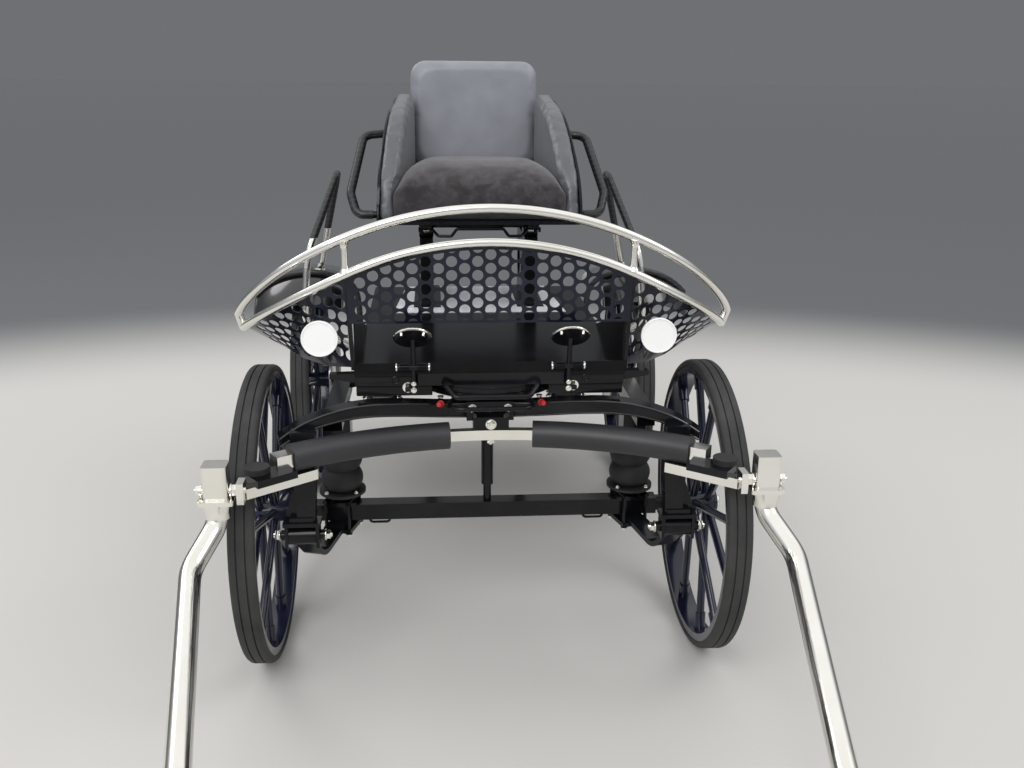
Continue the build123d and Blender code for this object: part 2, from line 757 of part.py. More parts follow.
def platform():
    front = body_back + 48
    back = bumper_y - 25
    middle = (front + back) / 2
    deck = block((2 * deck_half, back - front, deck_skirt), (0, middle, deck_z + sheet - deck_skirt / 2))
    deck = fillet(deck.edges().filter_by(Axis.Z), 40)
    under = block((2 * deck_half - 8, back - front - 8, deck_skirt), (0, middle, deck_z - deck_skirt / 2))
    deck -= fillet(under.edges().filter_by(Axis.Z), 36)
    return largest(deck - rear_frame())


def brake_calipers():
    y = rear_axle_y
    x = rear_half_track - hub_inner - 6 - disc_thickness / 2
    body = block((60, 96, 60), (x, y, axle_z + 96))
    slot = block((disc_thickness + 10, 200, 90), (x, y, axle_z + 71))
    arm = block((14, 60, 150), (x - 23, y, axle_z + 36))
    return pair(body - slot + arm - rod((x - 60, y, axle_z), (x, y, axle_z), axle_end_radius))


def fender_arc(lift):
    # The mudguard's section: x, and distance from the axle's centre line.
    points = [(458, 488), (583, 518), (753, 431)]
    return ThreePointArc(*[(x, radius + lift) for x, radius in points])


def fender_sheets():
    low, high = fender_arc(0), fender_arc(sheet)
    face = make_face(low + high + Line(low @ 0, high @ 0) + Line(low @ 1, high @ 1))
    arch = revolve(face, Axis.X, revolution_arc=fender_sweep)
    return pair(Pos(0, rear_axle_y, axle_z) * Rot(fender_start, 0, 0) * arch)


def fender_tubes():
    # A bow stands across each mudguard, and its inner leg comes down on the rear frame.
    crown = Pos(0, rear_axle_y, axle_z) * Rot(90 + bow_lean, 0, 0) * fender_arc(sheet + bow_radius - 0.4)
    inner, outer = crown @ 0, crown @ 1
    bow = sweep(Plane(origin=inner, z_dir=crown % 0) * Circle(bow_radius), path=crown)
    bow += ball(inner, bow_radius) + ball(outer, bow_radius)
    leg = [(inner.X, inner.Z), (foot_x + 8, inner.Z - 40), (foot_x, 620), (foot_x, deck_z)]
    bow += tube([(x, inner.Y, z) for x, z in leg], bow_radius, [50, 80])
    return pair(largest(bow - fender_sheets()))


def hoops():
    y = front_axle_y
    points = [
        (540, y + 1014, 870), (464, y + 1000, 1203), (462, y + 925, 1203), (552, y + 765, 960),
        (570, y + 745, 730), (foot_x, arm_y, 600), (foot_x, arm_y, deck_z),
    ]
    return pair(largest(tube(points, 12, [34, 34, 150, 80, 60]) - fender_sheets()))


nodes = {
    "upper_frame": upper_frame(),
    "turntable_top": turntable_top(),
    "footwell": footwell(),
    "seat_box": seat_box(),
    "dash_panel": dash_panel(),
    "dash_wings": dash_wings(),
    "dash_rails": dash_rails(),
    "dash_struts": dash_struts(),
    "reflectors": reflectors(),
    "pedals": pedals(),
    "brake_cylinders": brake_cylinders(),
    "seat_slide": seat_slide(),
    "seat_cushion": seat_cushion(),
    "seat_backrest": seat_backrest(),
    "seat_shell": seat_shell(),
    "seat_side_pads": seat_side_pads(),
    "seat_grab_bars": seat_grab_bars(),
    "hoops": hoops(),
    "fender_tubes": fender_tubes(),
    "fender_sheets": fender_sheets(),
    "rear_frame": rear_frame(),
    "platform": platform(),
    "rear_axle": axle(rear_axle_y, rear_half_track),
    "rear_leaf_arms": leaf_arms(arm_x, arm_y, arm_z, arm_x, rear_axle_y, bellows_back + 62),
    "rear_axle_clamps": axle_clamps(arm_x, rear_axle_y, axle_z + 54, 0),
    "rear_bellows": bellows(arm_x, rear_axle_y + bellows_back, axle_z - beam_size / 2, deck_z - 30),
    "brake_calipers": brake_calipers(),
    "turntable_base": turntable_base(),
    "fore_frame": fore_frame(),
    "splinter_bar": splinter_bar(),
    "splinter_sleeves": splinter_sleeves(),
    "shaft_carriers": shaft_carriers(),
    "carrier_plates": carrier_plates(),
    "buffer_discs": buffer_discs(),
    "hanger_legs": hanger_legs(),
    "front_axle": axle(front_axle_y, front_half_track) + axle_loops(),
    "front_leaf_arms": leaf_arms(bush_x, bush_y, bush_z, clamp_x, front_axle_y, 45),
    "front_axle_clamps": axle_clamps(clamp_x, front_axle_y, bellows_z[0], leaf_heading),
    "front_bellows": bellows(bellows_x, front_axle_y - 10, *bellows_z),
    "centre_damper": centre_damper(),
}

for side, side_name in ((-1, "left"), (1, "right")):
    front_centre = (side * front_half_track, front_axle_y, axle_z)
    rear_centre = (side * rear_half_track, rear_axle_y, axle_z)
    nodes[f"front_{side_name}_wheel"] = wheel(front_centre, side)
    nodes[f"front_{side_name}_tyre"] = tyre(front_centre)
    nodes[f"rear_{side_name}_wheel"] = wheel(rear_centre, side)
    nodes[f"rear_{side_name}_tyre"] = tyre(rear_centre)
    nodes[f"rear_{side_name}_disc"] = brake_disc(rear_centre, side)
    nodes[f"{side_name}_shaft"] = shaft_tube(side)
    nodes[f"{side_name}_shaft_bracket"] = shaft_bracket(side)

os.makedirs("parts", exist_ok=True)
for name, shape in nodes.items():
    export_step(shape, f"parts/{name}.step")
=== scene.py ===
import bpy
import bmesh
import json
from math import cos, pi, radians, sin, sqrt, tan
from mathutils import Matrix, Vector


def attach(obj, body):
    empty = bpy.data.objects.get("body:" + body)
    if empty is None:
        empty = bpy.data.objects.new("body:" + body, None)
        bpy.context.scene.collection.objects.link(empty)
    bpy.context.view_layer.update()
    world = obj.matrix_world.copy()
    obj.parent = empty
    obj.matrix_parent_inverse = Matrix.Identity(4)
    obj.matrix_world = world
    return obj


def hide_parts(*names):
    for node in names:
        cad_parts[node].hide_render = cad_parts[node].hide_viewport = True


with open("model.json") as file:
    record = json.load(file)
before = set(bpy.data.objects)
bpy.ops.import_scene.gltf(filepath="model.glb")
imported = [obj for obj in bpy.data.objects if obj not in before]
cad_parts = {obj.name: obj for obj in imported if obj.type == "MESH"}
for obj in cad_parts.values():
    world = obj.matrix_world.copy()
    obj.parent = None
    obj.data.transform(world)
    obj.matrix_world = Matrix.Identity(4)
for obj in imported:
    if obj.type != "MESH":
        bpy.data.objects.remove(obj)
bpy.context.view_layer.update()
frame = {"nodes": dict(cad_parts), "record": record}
nodes = frame["nodes"]

# finishes: each has its patterns in the object's own coordinates


def newFinish(name, look):
    finish = bpy.data.materials.new(name)
    finish.use_nodes = True
    shader = finish.node_tree.nodes["Principled BSDF"]
    for socketName, value in look.items():
        shader.inputs[socketName].default_value = value
    return finish, finish.node_tree, shader


def addNode(tree, kind, settings=None, links=None):
    node = tree.nodes.new(kind)
    for key, value in (settings or {}).items():
        if isinstance(key, int) or key in node.inputs:
            node.inputs[key].default_value = value
        else:
            setattr(node, key, value)
    for key, source in (links or {}).items():
        tree.links.new(source, node.inputs[key])
    return node


def objectPlace(tree, stretch=(1, 1, 1), turn=(0, 0, 0)):
    place = addNode(tree, "ShaderNodeTexCoord").outputs["Object"]
    settings = {"Scale": stretch, "Rotation": turn}
    return addNode(tree, "ShaderNodeMapping", settings, {"Vector": place}).outputs["Vector"]


def noise(tree, place, scale, detail, **more):
    settings = {"Scale": scale, "Detail": detail, **more}
    return addNode(tree, "ShaderNodeTexNoise", settings, {"Vector": place}).outputs["Fac"]


def spread(tree, source, stops):
    ramp = addNode(tree, "ShaderNodeValToRGB", None, {"Fac": source})
    for element, (place, color) in zip(ramp.color_ramp.elements, stops):
        element.position, element.color = place, (*color, 1)
    return ramp.outputs["Color"]


def span(tree, source, low, high):
    settings = {"To Min": low, "To Max": high}
    return addNode(tree, "ShaderNodeMapRange", settings, {"Value": source}).outputs["Result"]


def fade(tree, source, start, end, kind="LINEAR"):
    settings = {"From Min": start, "From Max": end, "interpolation_type": kind}
    return addNode(tree, "ShaderNodeMapRange", settings, {"Value": source}).outputs["Result"]


def mixed(tree, links, color=(0, 0, 0)):
    return addNode(tree, "ShaderNodeMix", {"data_type": "RGBA", 7: (*color, 1)}, links).outputs[2]


def relief(tree, shader, height, strength, distance):
    bump = addNode(tree, "ShaderNodeBump", {"Strength": strength, "Distance": distance}, {"Height": height})
    tree.links.new(bump.outputs["Normal"], shader.inputs["Normal"])


def paint(tree, shader, tone, stops, grain, roughness):
    # colour along one pattern and roughness along another
    tree.links.new(spread(tree, tone, stops), shader.inputs["Base Color"])
    tree.links.new(span(tree, grain, *roughness), shader.inputs["Roughness"])


def enamelFinish(name, color, dusty, look):
    finish, tree, shader = newFinish(name, look)
    place = objectPlace(tree)
    cloud, speck = noise(tree, place, 9.0, 5.0), noise(tree, place, 260.0, 2.0)
    paint(tree, shader, cloud, [(0.35, color), (0.75, dusty)], cloud, (0.08, 0.28))
    relief(tree, shader, speck, 0.06, 0.0006)
    return finish


def metalFinish(name, color, smear, roughness, stretch, look):
    finish, tree, shader = newFinish(name, look)
    streak = noise(tree, objectPlace(tree, stretch), 60.0, 6.0)
    cloud = noise(tree, objectPlace(tree), 7.0, 3.0)
    paint(tree, shader, cloud, [(0.3, color), (0.8, smear)], streak, roughness)
    relief(tree, shader, streak, 0.05, 0.0004)
    return finish


def rubberFinish(name, color, dusty, grain, roughness, look):
    finish, tree, shader = newFinish(name, look)
    place = objectPlace(tree)
    cloud, fine = noise(tree, place, 6.0, 6.0, Roughness=0.65), noise(tree, place, grain, 3.0)
    paint(tree, shader, cloud, [(0.35, color), (0.72, dusty)], fine, roughness)
    relief(tree, shader, fine, 0.25, 0.0008)
    return finish


def leatherFinish(name, color, light, look):
    finish, tree, shader = newFinish(name, look)
    place = objectPlace(tree)
    cells = addNode(tree, "ShaderNodeTexVoronoi", {"Scale": 620.0, "feature": "DISTANCE_TO_EDGE"}, {
        "Vector": place})
    fold = noise(tree, place, 14.0, 4.0)
    paint(tree, shader, fold, [(0.3, color), (0.75, light)], fold, (0.34, 0.5))
    grainAndFold = addNode(tree, "ShaderNodeMath", {"operation": "MULTIPLY_ADD", 1: 0.25}, {
        0: cells.outputs["Distance"], 2: span(tree, fold, 0.0, 1.0)})
    relief(tree, shader, grainAndFold.outputs["Value"], 0.35, 0.0012)
    return finish


def suedeFinish(name, color, light, damp, look):
    finish, tree, shader = newFinish(name, look)
    place = objectPlace(tree)
    nap = noise(tree, place, 34.0, 8.0, Roughness=0.7)
    blot = noise(tree, place, 15.0, 2.0, Distortion=0.6)
    pile = noise(tree, place, 900.0, 2.0)
    wet = spread(tree, blot, [(0.52, (0, 0, 0)), (0.66, (0.6, 0.6, 0.6))])
    dry = spread(tree, nap, [(0.34, color), (0.68, light)])
    tree.links.new(mixed(tree, {0: wet, 6: dry}, damp), shader.inputs["Base Color"])
    relief(tree, shader, pile, 0.5, 0.0012)
    return finish


def tapeWrap(tree, place):
    # saw-toothed bands, as the edges of wound tape
    settings = {"Scale": 18.0, "Distortion": 0.6, "Detail": 1.0, "bands_direction": "Z", "wave_profile": "SAW"}
    return addNode(tree, "ShaderNodeTexWave", settings, {"Vector": place}).outputs["Fac"]


def tapeFinish(name, color, edge, look):
    finish, tree, shader = newFinish(name, look)
    wrap = tapeWrap(tree, objectPlace(tree, turn=(0.35, 0.2, 0)))
    paint(tree, shader, wrap, [(0.82, color), (0.97, edge)], wrap, (0.3, 0.5))
    relief(tree, shader, wrap, 0.5, 0.0015)
    return finish


def hoopFinish(name, color, edge, steel, smear, wrapEnd, look):
    # bright tube, wrapped in black tape above a height
    finish, tree, shader = newFinish(name, look)
    place = objectPlace(tree)
    height = addNode(tree, "ShaderNodeSeparateXYZ", None, {0: place}).outputs["Z"]
    taped = fade(tree, height, wrapEnd - 0.001, wrapEnd + 0.001)
    wrap = tapeWrap(tree, place)
    tapeShade = spread(tree, wrap, [(0.82, color), (0.97, edge)])
    steelShade = spread(tree, noise(tree, place, 9.0, 4.0), [(0.3, steel), (0.8, smear)])
    tree.links.new(mixed(tree, {0: taped, 6: steelShade, 7: tapeShade}), shader.inputs["Base Color"])
    metal = addNode(tree, "ShaderNodeMath", {"operation": "SUBTRACT", 0: 1.0}, {1: taped})
    tree.links.new(metal.outputs["Value"], shader.inputs["Metallic"])
    tree.links.new(span(tree, taped, 0.14, 0.42), shader.inputs["Roughness"])
    ridge = addNode(tree, "ShaderNodeMath", {"operation": "MULTIPLY"}, {0: wrap, 1: taped})
    relief(tree, shader, ridge.outputs["Value"], 0.5, 0.0015)
    return finish


finishes = {
    "black_enamel": enamelFinish("blackEnamel", (0.003, 0.0032, 0.0045), (0.010, 0.0105, 0.013), {
        "IOR": 1.3, "Coat Weight": 0.1, "Coat Roughness": 0.04, "Specular IOR Level": 0.5}),
    "navy_enamel": enamelFinish("navyEnamel", (0.003, 0.004, 0.014), (0.010, 0.013, 0.034), {
        "Coat Weight": 0.3, "Coat Roughness": 0.05, "Specular IOR Level": 0.4}),
    "navy_sheet": enamelFinish("navySheet", (0.004, 0.005, 0.012), (0.012, 0.014, 0.028), {
        "Coat Weight": 0.1, "Coat Roughness": 0.06, "Specular IOR Level": 0.28}),
    "gloss_black_sheet": enamelFinish("glossBlackSheet", (0.003, 0.003, 0.0035), (0.008, 0.008, 0.009), {
        "IOR": 1.2, "Coat Weight": 0.03, "Coat Roughness": 0.03, "Specular IOR Level": 0.5}),
    "polished_steel": metalFinish(
        "polishedSteel", (0.90, 0.89, 0.85), (0.80, 0.78, 0.70), (0.08, 0.2), (1, 1, 1), {
            "Metallic": 1.0}),
    "bright_disc": metalFinish(
        "brightDisc", (0.6, 0.59, 0.57), (0.45, 0.43, 0.4), (0.2, 0.42), (1, 9, 9), {"Metallic": 1.0}),
    "grey_casting": metalFinish(
        "greyCasting", (0.34, 0.34, 0.35), (0.24, 0.24, 0.25), (0.35, 0.6), (1, 1, 1), {"Metallic": 0.8}),
    "tyre_rubber": rubberFinish(
        "tyreRubber", (0.022, 0.022, 0.023), (0.05, 0.05, 0.048), 180.0, (0.55, 0.85), {
            "Specular IOR Level": 0.4}),
    "black_rubber": rubberFinish(
        "blackRubber", (0.013, 0.013, 0.014), (0.03, 0.03, 0.03), 240.0, (0.5, 0.75), {
            "Specular IOR Level": 0.4}),
    "foam_sleeve": rubberFinish(
        "foamSleeve", (0.016, 0.016, 0.018), (0.026, 0.026, 0.029), 420.0, (0.36, 0.56), {
            "Specular IOR Level": 0.55}),
    "taped_tube": tapeFinish("tapedTube", (0.014, 0.014, 0.016), (0.05, 0.05, 0.055), {
        "Specular IOR Level": 0.5}),
    "charcoal_cloth": suedeFinish(
        "charcoalSuede", (0.036, 0.031, 0.034), (0.073, 0.067, 0.073), (0.018, 0.0145, 0.015), {
            "Roughness": 0.85, "Sheen Weight": 0.35, "Sheen Roughness": 0.5, "Specular IOR Level": 0.2}),
    "grey_leatherette": leatherFinish("greyLeatherette", (0.058, 0.061, 0.070), (0.084, 0.088, 0.100), {
        "Specular IOR Level": 0.8, "Sheen Weight": 0.15, "Sheen Roughness": 0.4, "Coat Weight": 0.2,
        "Coat Roughness": 0.3}),
    "white_reflector": enamelFinish("whiteReflector", (0.93, 0.93, 0.92), (0.98, 0.98, 0.98), {
        "Coat Weight": 0.6}),
}
# finishes of single pieces, which differ from those of their slots
# the backrest's finish is a lit copy of the grey leatherette: its colours are painted about three times lighter
# than the side pads', as painted sheen from the sky on the backrest
paintedSheenBackrestFinish = leatherFinish("backrestPaintedSheenLeatherette", (0.212, 0.219, 0.248), (0.258, 0.266, 0.298), {
    "Specular IOR Level": 0.6, "Sheen Weight": 0.2, "Sheen Roughness": 0.4})
wrappedFinish = hoopFinish(
    "wrappedHoop", (0.014, 0.014, 0.016), (0.05, 0.05, 0.055), (0.90, 0.89, 0.85),
    (0.62, 0.60, 0.55), 1.013, {"Specular IOR Level": 0.5})
wetFinish = enamelFinish("wetGloss", (0.004, 0.004, 0.0045), (0.011, 0.011, 0.012), {
    "Coat Weight": 1.0, "Coat Roughness": 0.12, "Coat IOR": 1.5, "Specular IOR Level": 0.45})
redFinish = rubberFinish("redCap", (0.42, 0.016, 0.014), (0.52, 0.03, 0.025), 300.0, (0.35, 0.5), {
    "Specular IOR Level": 0.5})
treadFinish = metalFinish(
    "treadSheet", (0.80, 0.81, 0.85), (0.66, 0.67, 0.71), (0.4, 0.6), (9, 1, 1), {"Metallic": 0.3})

for row in frame["record"]["subparts"]:
    materials = nodes[row["node"]].data.materials
    materials.clear()
    materials.append(finishes[row["material_slot"]])
nodes["hoops"].data.materials[0] = wrappedFinish
print("finishes made", len(finishes))

# helpers for new pieces


def newObject(name, content):
    holder = bpy.data.objects.new(name, content)
    bpy.context.scene.collection.objects.link(holder)
    return holder


def keepPiece(name, bm, slotName, body="chassis", replaced=(), sharp=35, finish=None):
    mesh = bpy.data.meshes.new(name)
    bmesh.ops.recalc_face_normals(bm, faces=bm.faces)
    bm.to_mesh(mesh)
    bm.free()
    mesh.shade_smooth()
    mesh.set_sharp_from_angle(angle=radians(sharp))
    mesh.materials.append(finish or finishes[slotName])
    piece = newObject(name, mesh)
    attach(piece, body)
    if replaced:
        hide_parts(*replaced)
    return piece


def facing(place, direction):
    return Matrix.Translation(place) @ Vector(direction).to_track_quat("Z", "Y").to_matrix().to_4x4()


def turned(degrees, axis, size=4):
    return Matrix.Rotation(radians(degrees), size, axis)


def raised(at, height):
    return at @ Matrix.Translation((0, 0, height))


def held(value, low, high):
    return min(max(value, low), high)


def blend(first, second, share):
    return first + (second - first) * share


def edgesOf(verts):
    return list({edge for vert in verts for edge in vert.link_edges})


def newVerts(made):
    return [part for part in made["geom"] if isinstance(part, bmesh.types.BMVert)]


def roundEdges(bm, edges, reach, segments=2):
    bmesh.ops.bevel(bm, geom=edges, offset=reach, segments=segments, affect="EDGES", profile=0.5, material=-1)


def addCylinder(bm, at, radius, depth, sides=24, endRadius=None, bevel=0.0):
    end = radius if endRadius is None else endRadius
    made = bmesh.ops.create_cone(bm, cap_ends=True, segments=sides, radius1=radius, radius2=end, depth=depth,
                                 matrix=raised(at, depth / 2))
    if bevel:
        rims = {edge for vert in made["verts"] for edge in vert.link_edges
                if any(len(face.verts) > 4 for face in edge.link_faces)}
        roundEdges(bm, list(rims), bevel)


def addRing(bm, at, radius, thickness, steps=48, sides=12):
    place = at @ Matrix.Translation((radius, 0, 0)) @ Matrix.Rotation(pi / 2, 4, "X")
    start = bmesh.ops.create_circle(bm, segments=sides, radius=thickness, matrix=place)["verts"]
    axis = at.to_3x3() @ Vector((0, 0, 1))
    bmesh.ops.spin(bm, geom=start + edgesOf(start), cent=at.translation, axis=axis, angle=2 * pi,
                   steps=steps, use_merge=True)


def addBox(bm, size, centre, bevel=0.0, at=None):
    place = (at or Matrix.Identity(4)) @ Matrix.Translation(centre) @ Matrix.Diagonal((*size, 1))
    made = bmesh.ops.create_cube(bm, size=1.0, matrix=place)
    if bevel:
        roundEdges(bm, edgesOf(made["verts"]), bevel)


# washer, six-sided head and end of a bolt: radius, height, sides, radius at the top and bevel
boltShape = ((1.2, 0.22, 24, 1.2, 0.05), (1.0, 0.8, 6, 1.0, 0.08), (0.55, 0.35, 16, 0.45, 0.0))


def addBolt(bm, place, direction, size):
    at = facing(place, direction)
    for radius, height, sides, top, bevel in boltShape:
        addCylinder(bm, at, size * radius, size * height, sides, size * top, size * bevel)
        at = raised(at, size * height)


def boltPiece(name, body, rows):
    bm = bmesh.new()
    for place, direction, size in rows:
        addBolt(bm, place, direction, size)
    keepPiece(name, bm, "polished_steel", body)


def bothSides(rows):
    # the same bolts on the left and the right
    mirrored = [((-x, y, z), (-dx, dy, dz), size) for (x, y, z), (dx, dy, dz), size in rows]
    return rows + mirrored


def tubeLine(name, radius, roundness, steps):
    line = bpy.data.curves.new(name, "CURVE")
    line.dimensions = "3D"
    line.bevel_depth = radius
    line.bevel_resolution = roundness
    line.use_fill_caps = True
    line.resolution_u = steps
    return line


def keepTube(name, line, slotName, body, replaced=(), finish=None):
    # the line's tube as a mesh
    holder = bpy.data.objects.new(name + "Line", line)
    mesh = bpy.data.meshes.new_from_object(holder)
    bpy.data.objects.remove(holder)
    bpy.data.curves.remove(line)
    bm = bmesh.new()
    bm.from_mesh(mesh)
    bpy.data.meshes.remove(mesh)
    bmesh.ops.remove_doubles(bm, verts=bm.verts, dist=0.00002)
    keepPiece(name, bm, slotName, body, replaced, finish=finish)


def tubesAlong(name, rows, radius, slotName, body="chassis", order=3, roundness=3, replaced=(), finish=None):
    # one piece with a round tube along each row of control points
    line = tubeLine(name, radius, roundness, 12)
    for points in rows:
        spline = line.splines.new("NURBS")
        spline.points.add(len(points) - 1)
        for spot, place in zip(spline.points, points):
            spot.co = (*place, 1)
        spline.order_u = order
        spline.use_endpoint_u = True
    keepTube(name, line, slotName, body, replaced, finish)


def bentTube(name, shape, slotName, body="chassis", side=1):
    # a tube with true arcs at its corners
    line = tubeLine(name, shape["radius"], 4, 10)
    spots = [Vector((side * x, y, z)) for x, y, z in shape["corners"]]
    knots = [(spots[0], spots[0], spots[0])]
    for before, corner, after, bend in zip(spots, spots[1:], spots[2:], shape["bends"]):
        back, ahead = (before - corner).normalized(), (after - corner).normalized()
        turn = pi - back.angle(ahead)
        reach = bend * tan(turn / 2)
        pull = reach - bend * 4 / 3 * tan(turn / 4)
        start, end = corner + back * reach, corner + ahead * reach
        knots.append((start, start + back * reach * 0.3, corner + back * pull))
        knots.append((end, corner + ahead * pull, end + ahead * reach * 0.3))
    knots.append((spots[-1], spots[-1], spots[-1]))
    spline = line.splines.new("BEZIER")
    spline.bezier_points.add(len(knots) - 1)
    for point, (place, left, right) in zip(spline.bezier_points, knots):
        point.handle_left_type = point.handle_right_type = "FREE"
        point.co, point.handle_left, point.handle_right = place, left, right
    keepTube(name, line, slotName, body)


def onLine(points, share):
    # a place along a row of points, eased between them
    step = share * (len(points) - 1)
    index = min(int(step), len(points) - 2)
    before = Vector(points[max(index - 1, 0)])
    a, b = Vector(points[index]), Vector(points[index + 1])
    after = Vector(points[min(index + 2, len(points) - 1)])
    t = step - index
    return 0.5 * (2 * a + (b - before) * t + (2 * before - 5 * a + 4 * b - after) * t ** 2
                  + (3 * a - before - 3 * b + after) * t ** 3)


# padded pieces

swelling = {"pressure": 4.0, "quality": 5, "frames": 20, "smoothing": 3}


def cappedMove(start, end, cap):
    move = end - start
    return end if move.length <= cap else start + move * (cap / move.length)


def swellPad(pad, voxel, cap, inRoom, share):
    # voxel remesh, then cloth under pressure: a point moves by a share of the swelling along
    # each axis, up to the cap, and stays in the room that the pad has
    remesh = pad.modifiers.new("voxels", "REMESH")
    remesh.mode = "VOXEL"
    remesh.voxel_size = voxel
    depsgraph = bpy.context.evaluated_depsgraph_get()
    fine = bpy.data.meshes.new_from_object(pad.evaluated_get(depsgraph), depsgraph=depsgraph)
    pad.modifiers.clear()
    finish = pad.data.materials[0]
    pad.data = fine
    fine.materials.clear()
    fine.materials.append(finish)
    start = [vert.co.copy() for vert in fine.vertices]
    swell = pad.modifiers.new("swell", "CLOTH")
    swell.settings.use_pressure = True
    swell.settings.uniform_pressure_force = swelling["pressure"]
    swell.settings.effector_weights.gravity = 0
    swell.settings.quality = swelling["quality"]
    swell.collision_settings.use_collision = False
    for frameNumber in range(1, swelling["frames"] + 1):
        bpy.context.scene.frame_set(frameNumber)
    depsgraph = bpy.context.evaluated_depsgraph_get()
    swollen = pad.evaluated_get(depsgraph).data
    ends = [vert.co.copy() for vert in swollen.vertices]
    pad.modifiers.clear()
    bpy.context.scene.frame_set(1)
    for vert, first, last in zip(fine.vertices, start, ends):
        vert.co = inRoom(cappedMove(first, first + (last - first) * Vector(share), cap))
    bm = bmesh.new()
    bm.from_mesh(fine)
    for step in range(swelling["smoothing"]):
        bmesh.ops.smooth_vert(
            bm, verts=bm.verts, factor=0.5, use_axis_x=True, use_axis_y=True, use_axis_z=True)
    for vert in bm.verts:
        vert.co = inRoom(vert.co)
    bm.to_mesh(fine)
    bm.free()
    fine.shade_smooth()
    rounder = pad.modifiers.new("rounder", "SUBSURF")
    rounder.levels = rounder.render_levels = 1


def boxed(place, width, depth, height):
    return Vector((held(place.x, *width), held(place.y, *depth), held(place.z, *height)))


def newPad(name, bm, slotName, node, finish=None):
    pad = keepPiece(name, bm, slotName, "chassis", [node], 180, finish)
    return pad


cushion = {
    "front": 0.770, "back": 1.209, "bottom": 1.1265, "top": 1.276, "halfFront": 0.2555, "halfBack": 0.2085,
    "edgeHeight": 0.070, "crown": (6, 0.4), "roll": (0.02, 0.42, 2.2), "rearDrop": 0.2, "pull": 0.03,
    "bow": 0.012, "voxel": 0.006, "cap": 0.014, "share": (0.1, 0.3, 1.0),
    # the pan's half width at its front edge and how fast it narrows, then the reach in depth and height
    "pan": (0.2585, 0.755, 0.1052), "depth": (0.762, 1.2165), "height": (1.1255, 1.288),
}


def cushionTop(across, along):
    # height over the pan: a broad crown that drops late to the sides and rolls over at the front
    power, root = cushion["crown"]
    lead, reach, bend = cushion["roll"]
    crown = (1 - abs(across) ** power) ** root
    roll = sqrt(max(0.02, 1 - max(0, 1 - (along + lead) / reach) ** bend))
    rise = roll * (1 - cushion["rearDrop"] * max(0, along - 0.5) / 0.5)
    edge = cushion["edgeHeight"]
    return edge + (cushion["top"] - cushion["bottom"] - edge) * crown * rise


def inCushionRoom(place):
    halfFront, front, slope = cushion["pan"]
    half = halfFront - (place.y - front) * slope
    return boxed(place, (-half, half), cushion["depth"], cushion["height"])


def makeCushion():
    bm = bmesh.new()
    bmesh.ops.create_cube(bm, size=2.0)
    bmesh.ops.subdivide_edges(bm, edges=bm.edges, cuts=23, use_grid_fill=True)
    for vert in bm.verts:
        across, along, up = vert.co.x, (vert.co.y + 1) / 2, (vert.co.z + 1) / 2
        half = blend(cushion["halfFront"], cushion["halfBack"], along)
        pull = 1 - cushion["pull"] * sin(pi * along) * abs(across)
        bow = cushion["bow"] * sin(pi * up) * cos(across * pi / 2)
        vert.co = (across * half * pull, blend(cushion["front"], cushion["back"], along) - bow * (1 - along),
                   cushion["bottom"] + up * cushionTop(across, along))
    pad = newPad("seatCushionPad", bm, "charcoal_cloth", "seat_cushion")
    swellPad(pad, cushion["voxel"], cushion["cap"], inCushionRoom, cushion["share"])


backrest = {
    "half": 0.2075, "front": 1.225, "back": 1.282, "low": 1.231, "high": 1.574, "corner": 0.050, "rim": 0.014,
    "lean": 0.022, "voxel": 0.006, "cap": 0.012, "share": (0.0, 1.0, 0.0),
    "width": (-0.2132, 0.2132), "depth": (1.2142, 1.2848), "height": (1.2245, 1.582),
}


def inBackrestRoom(place):
    return boxed(place, backrest["width"], backrest["depth"], backrest["height"])


def makeBackrest():
    bm = bmesh.new()
    centre = (0, (backrest["front"] + backrest["back"]) / 2, (backrest["low"] + backrest["high"]) / 2)
    size = (2 * backrest["half"], backrest["back"] - backrest["front"], backrest["high"] - backrest["low"])
    addBox(bm, size, centre)
    upright = [edge for edge in bm.edges if abs((edge.verts[0].co - edge.verts[1].co).y) > 0.01]
    roundEdges(bm, upright, backrest["corner"], 6)
    rims = [edge for edge in bm.edges if abs((edge.verts[0].co - edge.verts[1].co).y) < 0.001
            and len({len(face.verts) > 4 for face in edge.link_faces}) == 2]
    roundEdges(bm, rims, backrest["rim"], 3)
    for vert in bm.verts:
        # the front leans back towards the top
        up = (vert.co.z - backrest["low"]) / (backrest["high"] - backrest["low"])
        if vert.co.y < centre[1]:
            vert.co.y += backrest["lean"] * up
    # the backrest takes the lighter copy of the leatherette, with painted sheen in its colour
    pad = newPad("backrestPad", bm, "grey_leatherette", "seat_backrest", paintedSheenBackrestFinish)
    swellPad(pad, backrest["voxel"], backrest["cap"], inBackrestRoom, backrest["share"])


sidePad = {
    "crest": [(0, 0.766, 1.144), (0, 0.789, 1.234), (0, 0.866, 1.323), (0, 0.971, 1.404), (0, 1.076, 1.449),
              (0, 1.206, 1.473)],
    "bottom": 1.1265, "footFront": 0.766, "footBack": 1.206, "outer": -0.004, "thin": -0.034, "thick": -0.046,
    "turn": 6.0, "wall": 0.296, "front": 0.755, "voxel": 0.005, "cap": 0.012, "share": (1.0, 0.35, 0.35),
    # room beside the wall, with its thickness below and above the cushion's top
    "wallGap": 0.0008, "room": (0.0405, 0.058), "cushionTop": (1.19, 0.06), "height": (1.1255, 1.483),
    "frontmost": 0.757, "rearmost": (1.2165, 1.2125), "backrestSide": 0.2145,
}
wallSlope = tan(radians(sidePad["turn"]))


def aboveCushion(z):
    level, reach = sidePad["cushionTop"]
    return held((z - level) / reach, 0, 1)


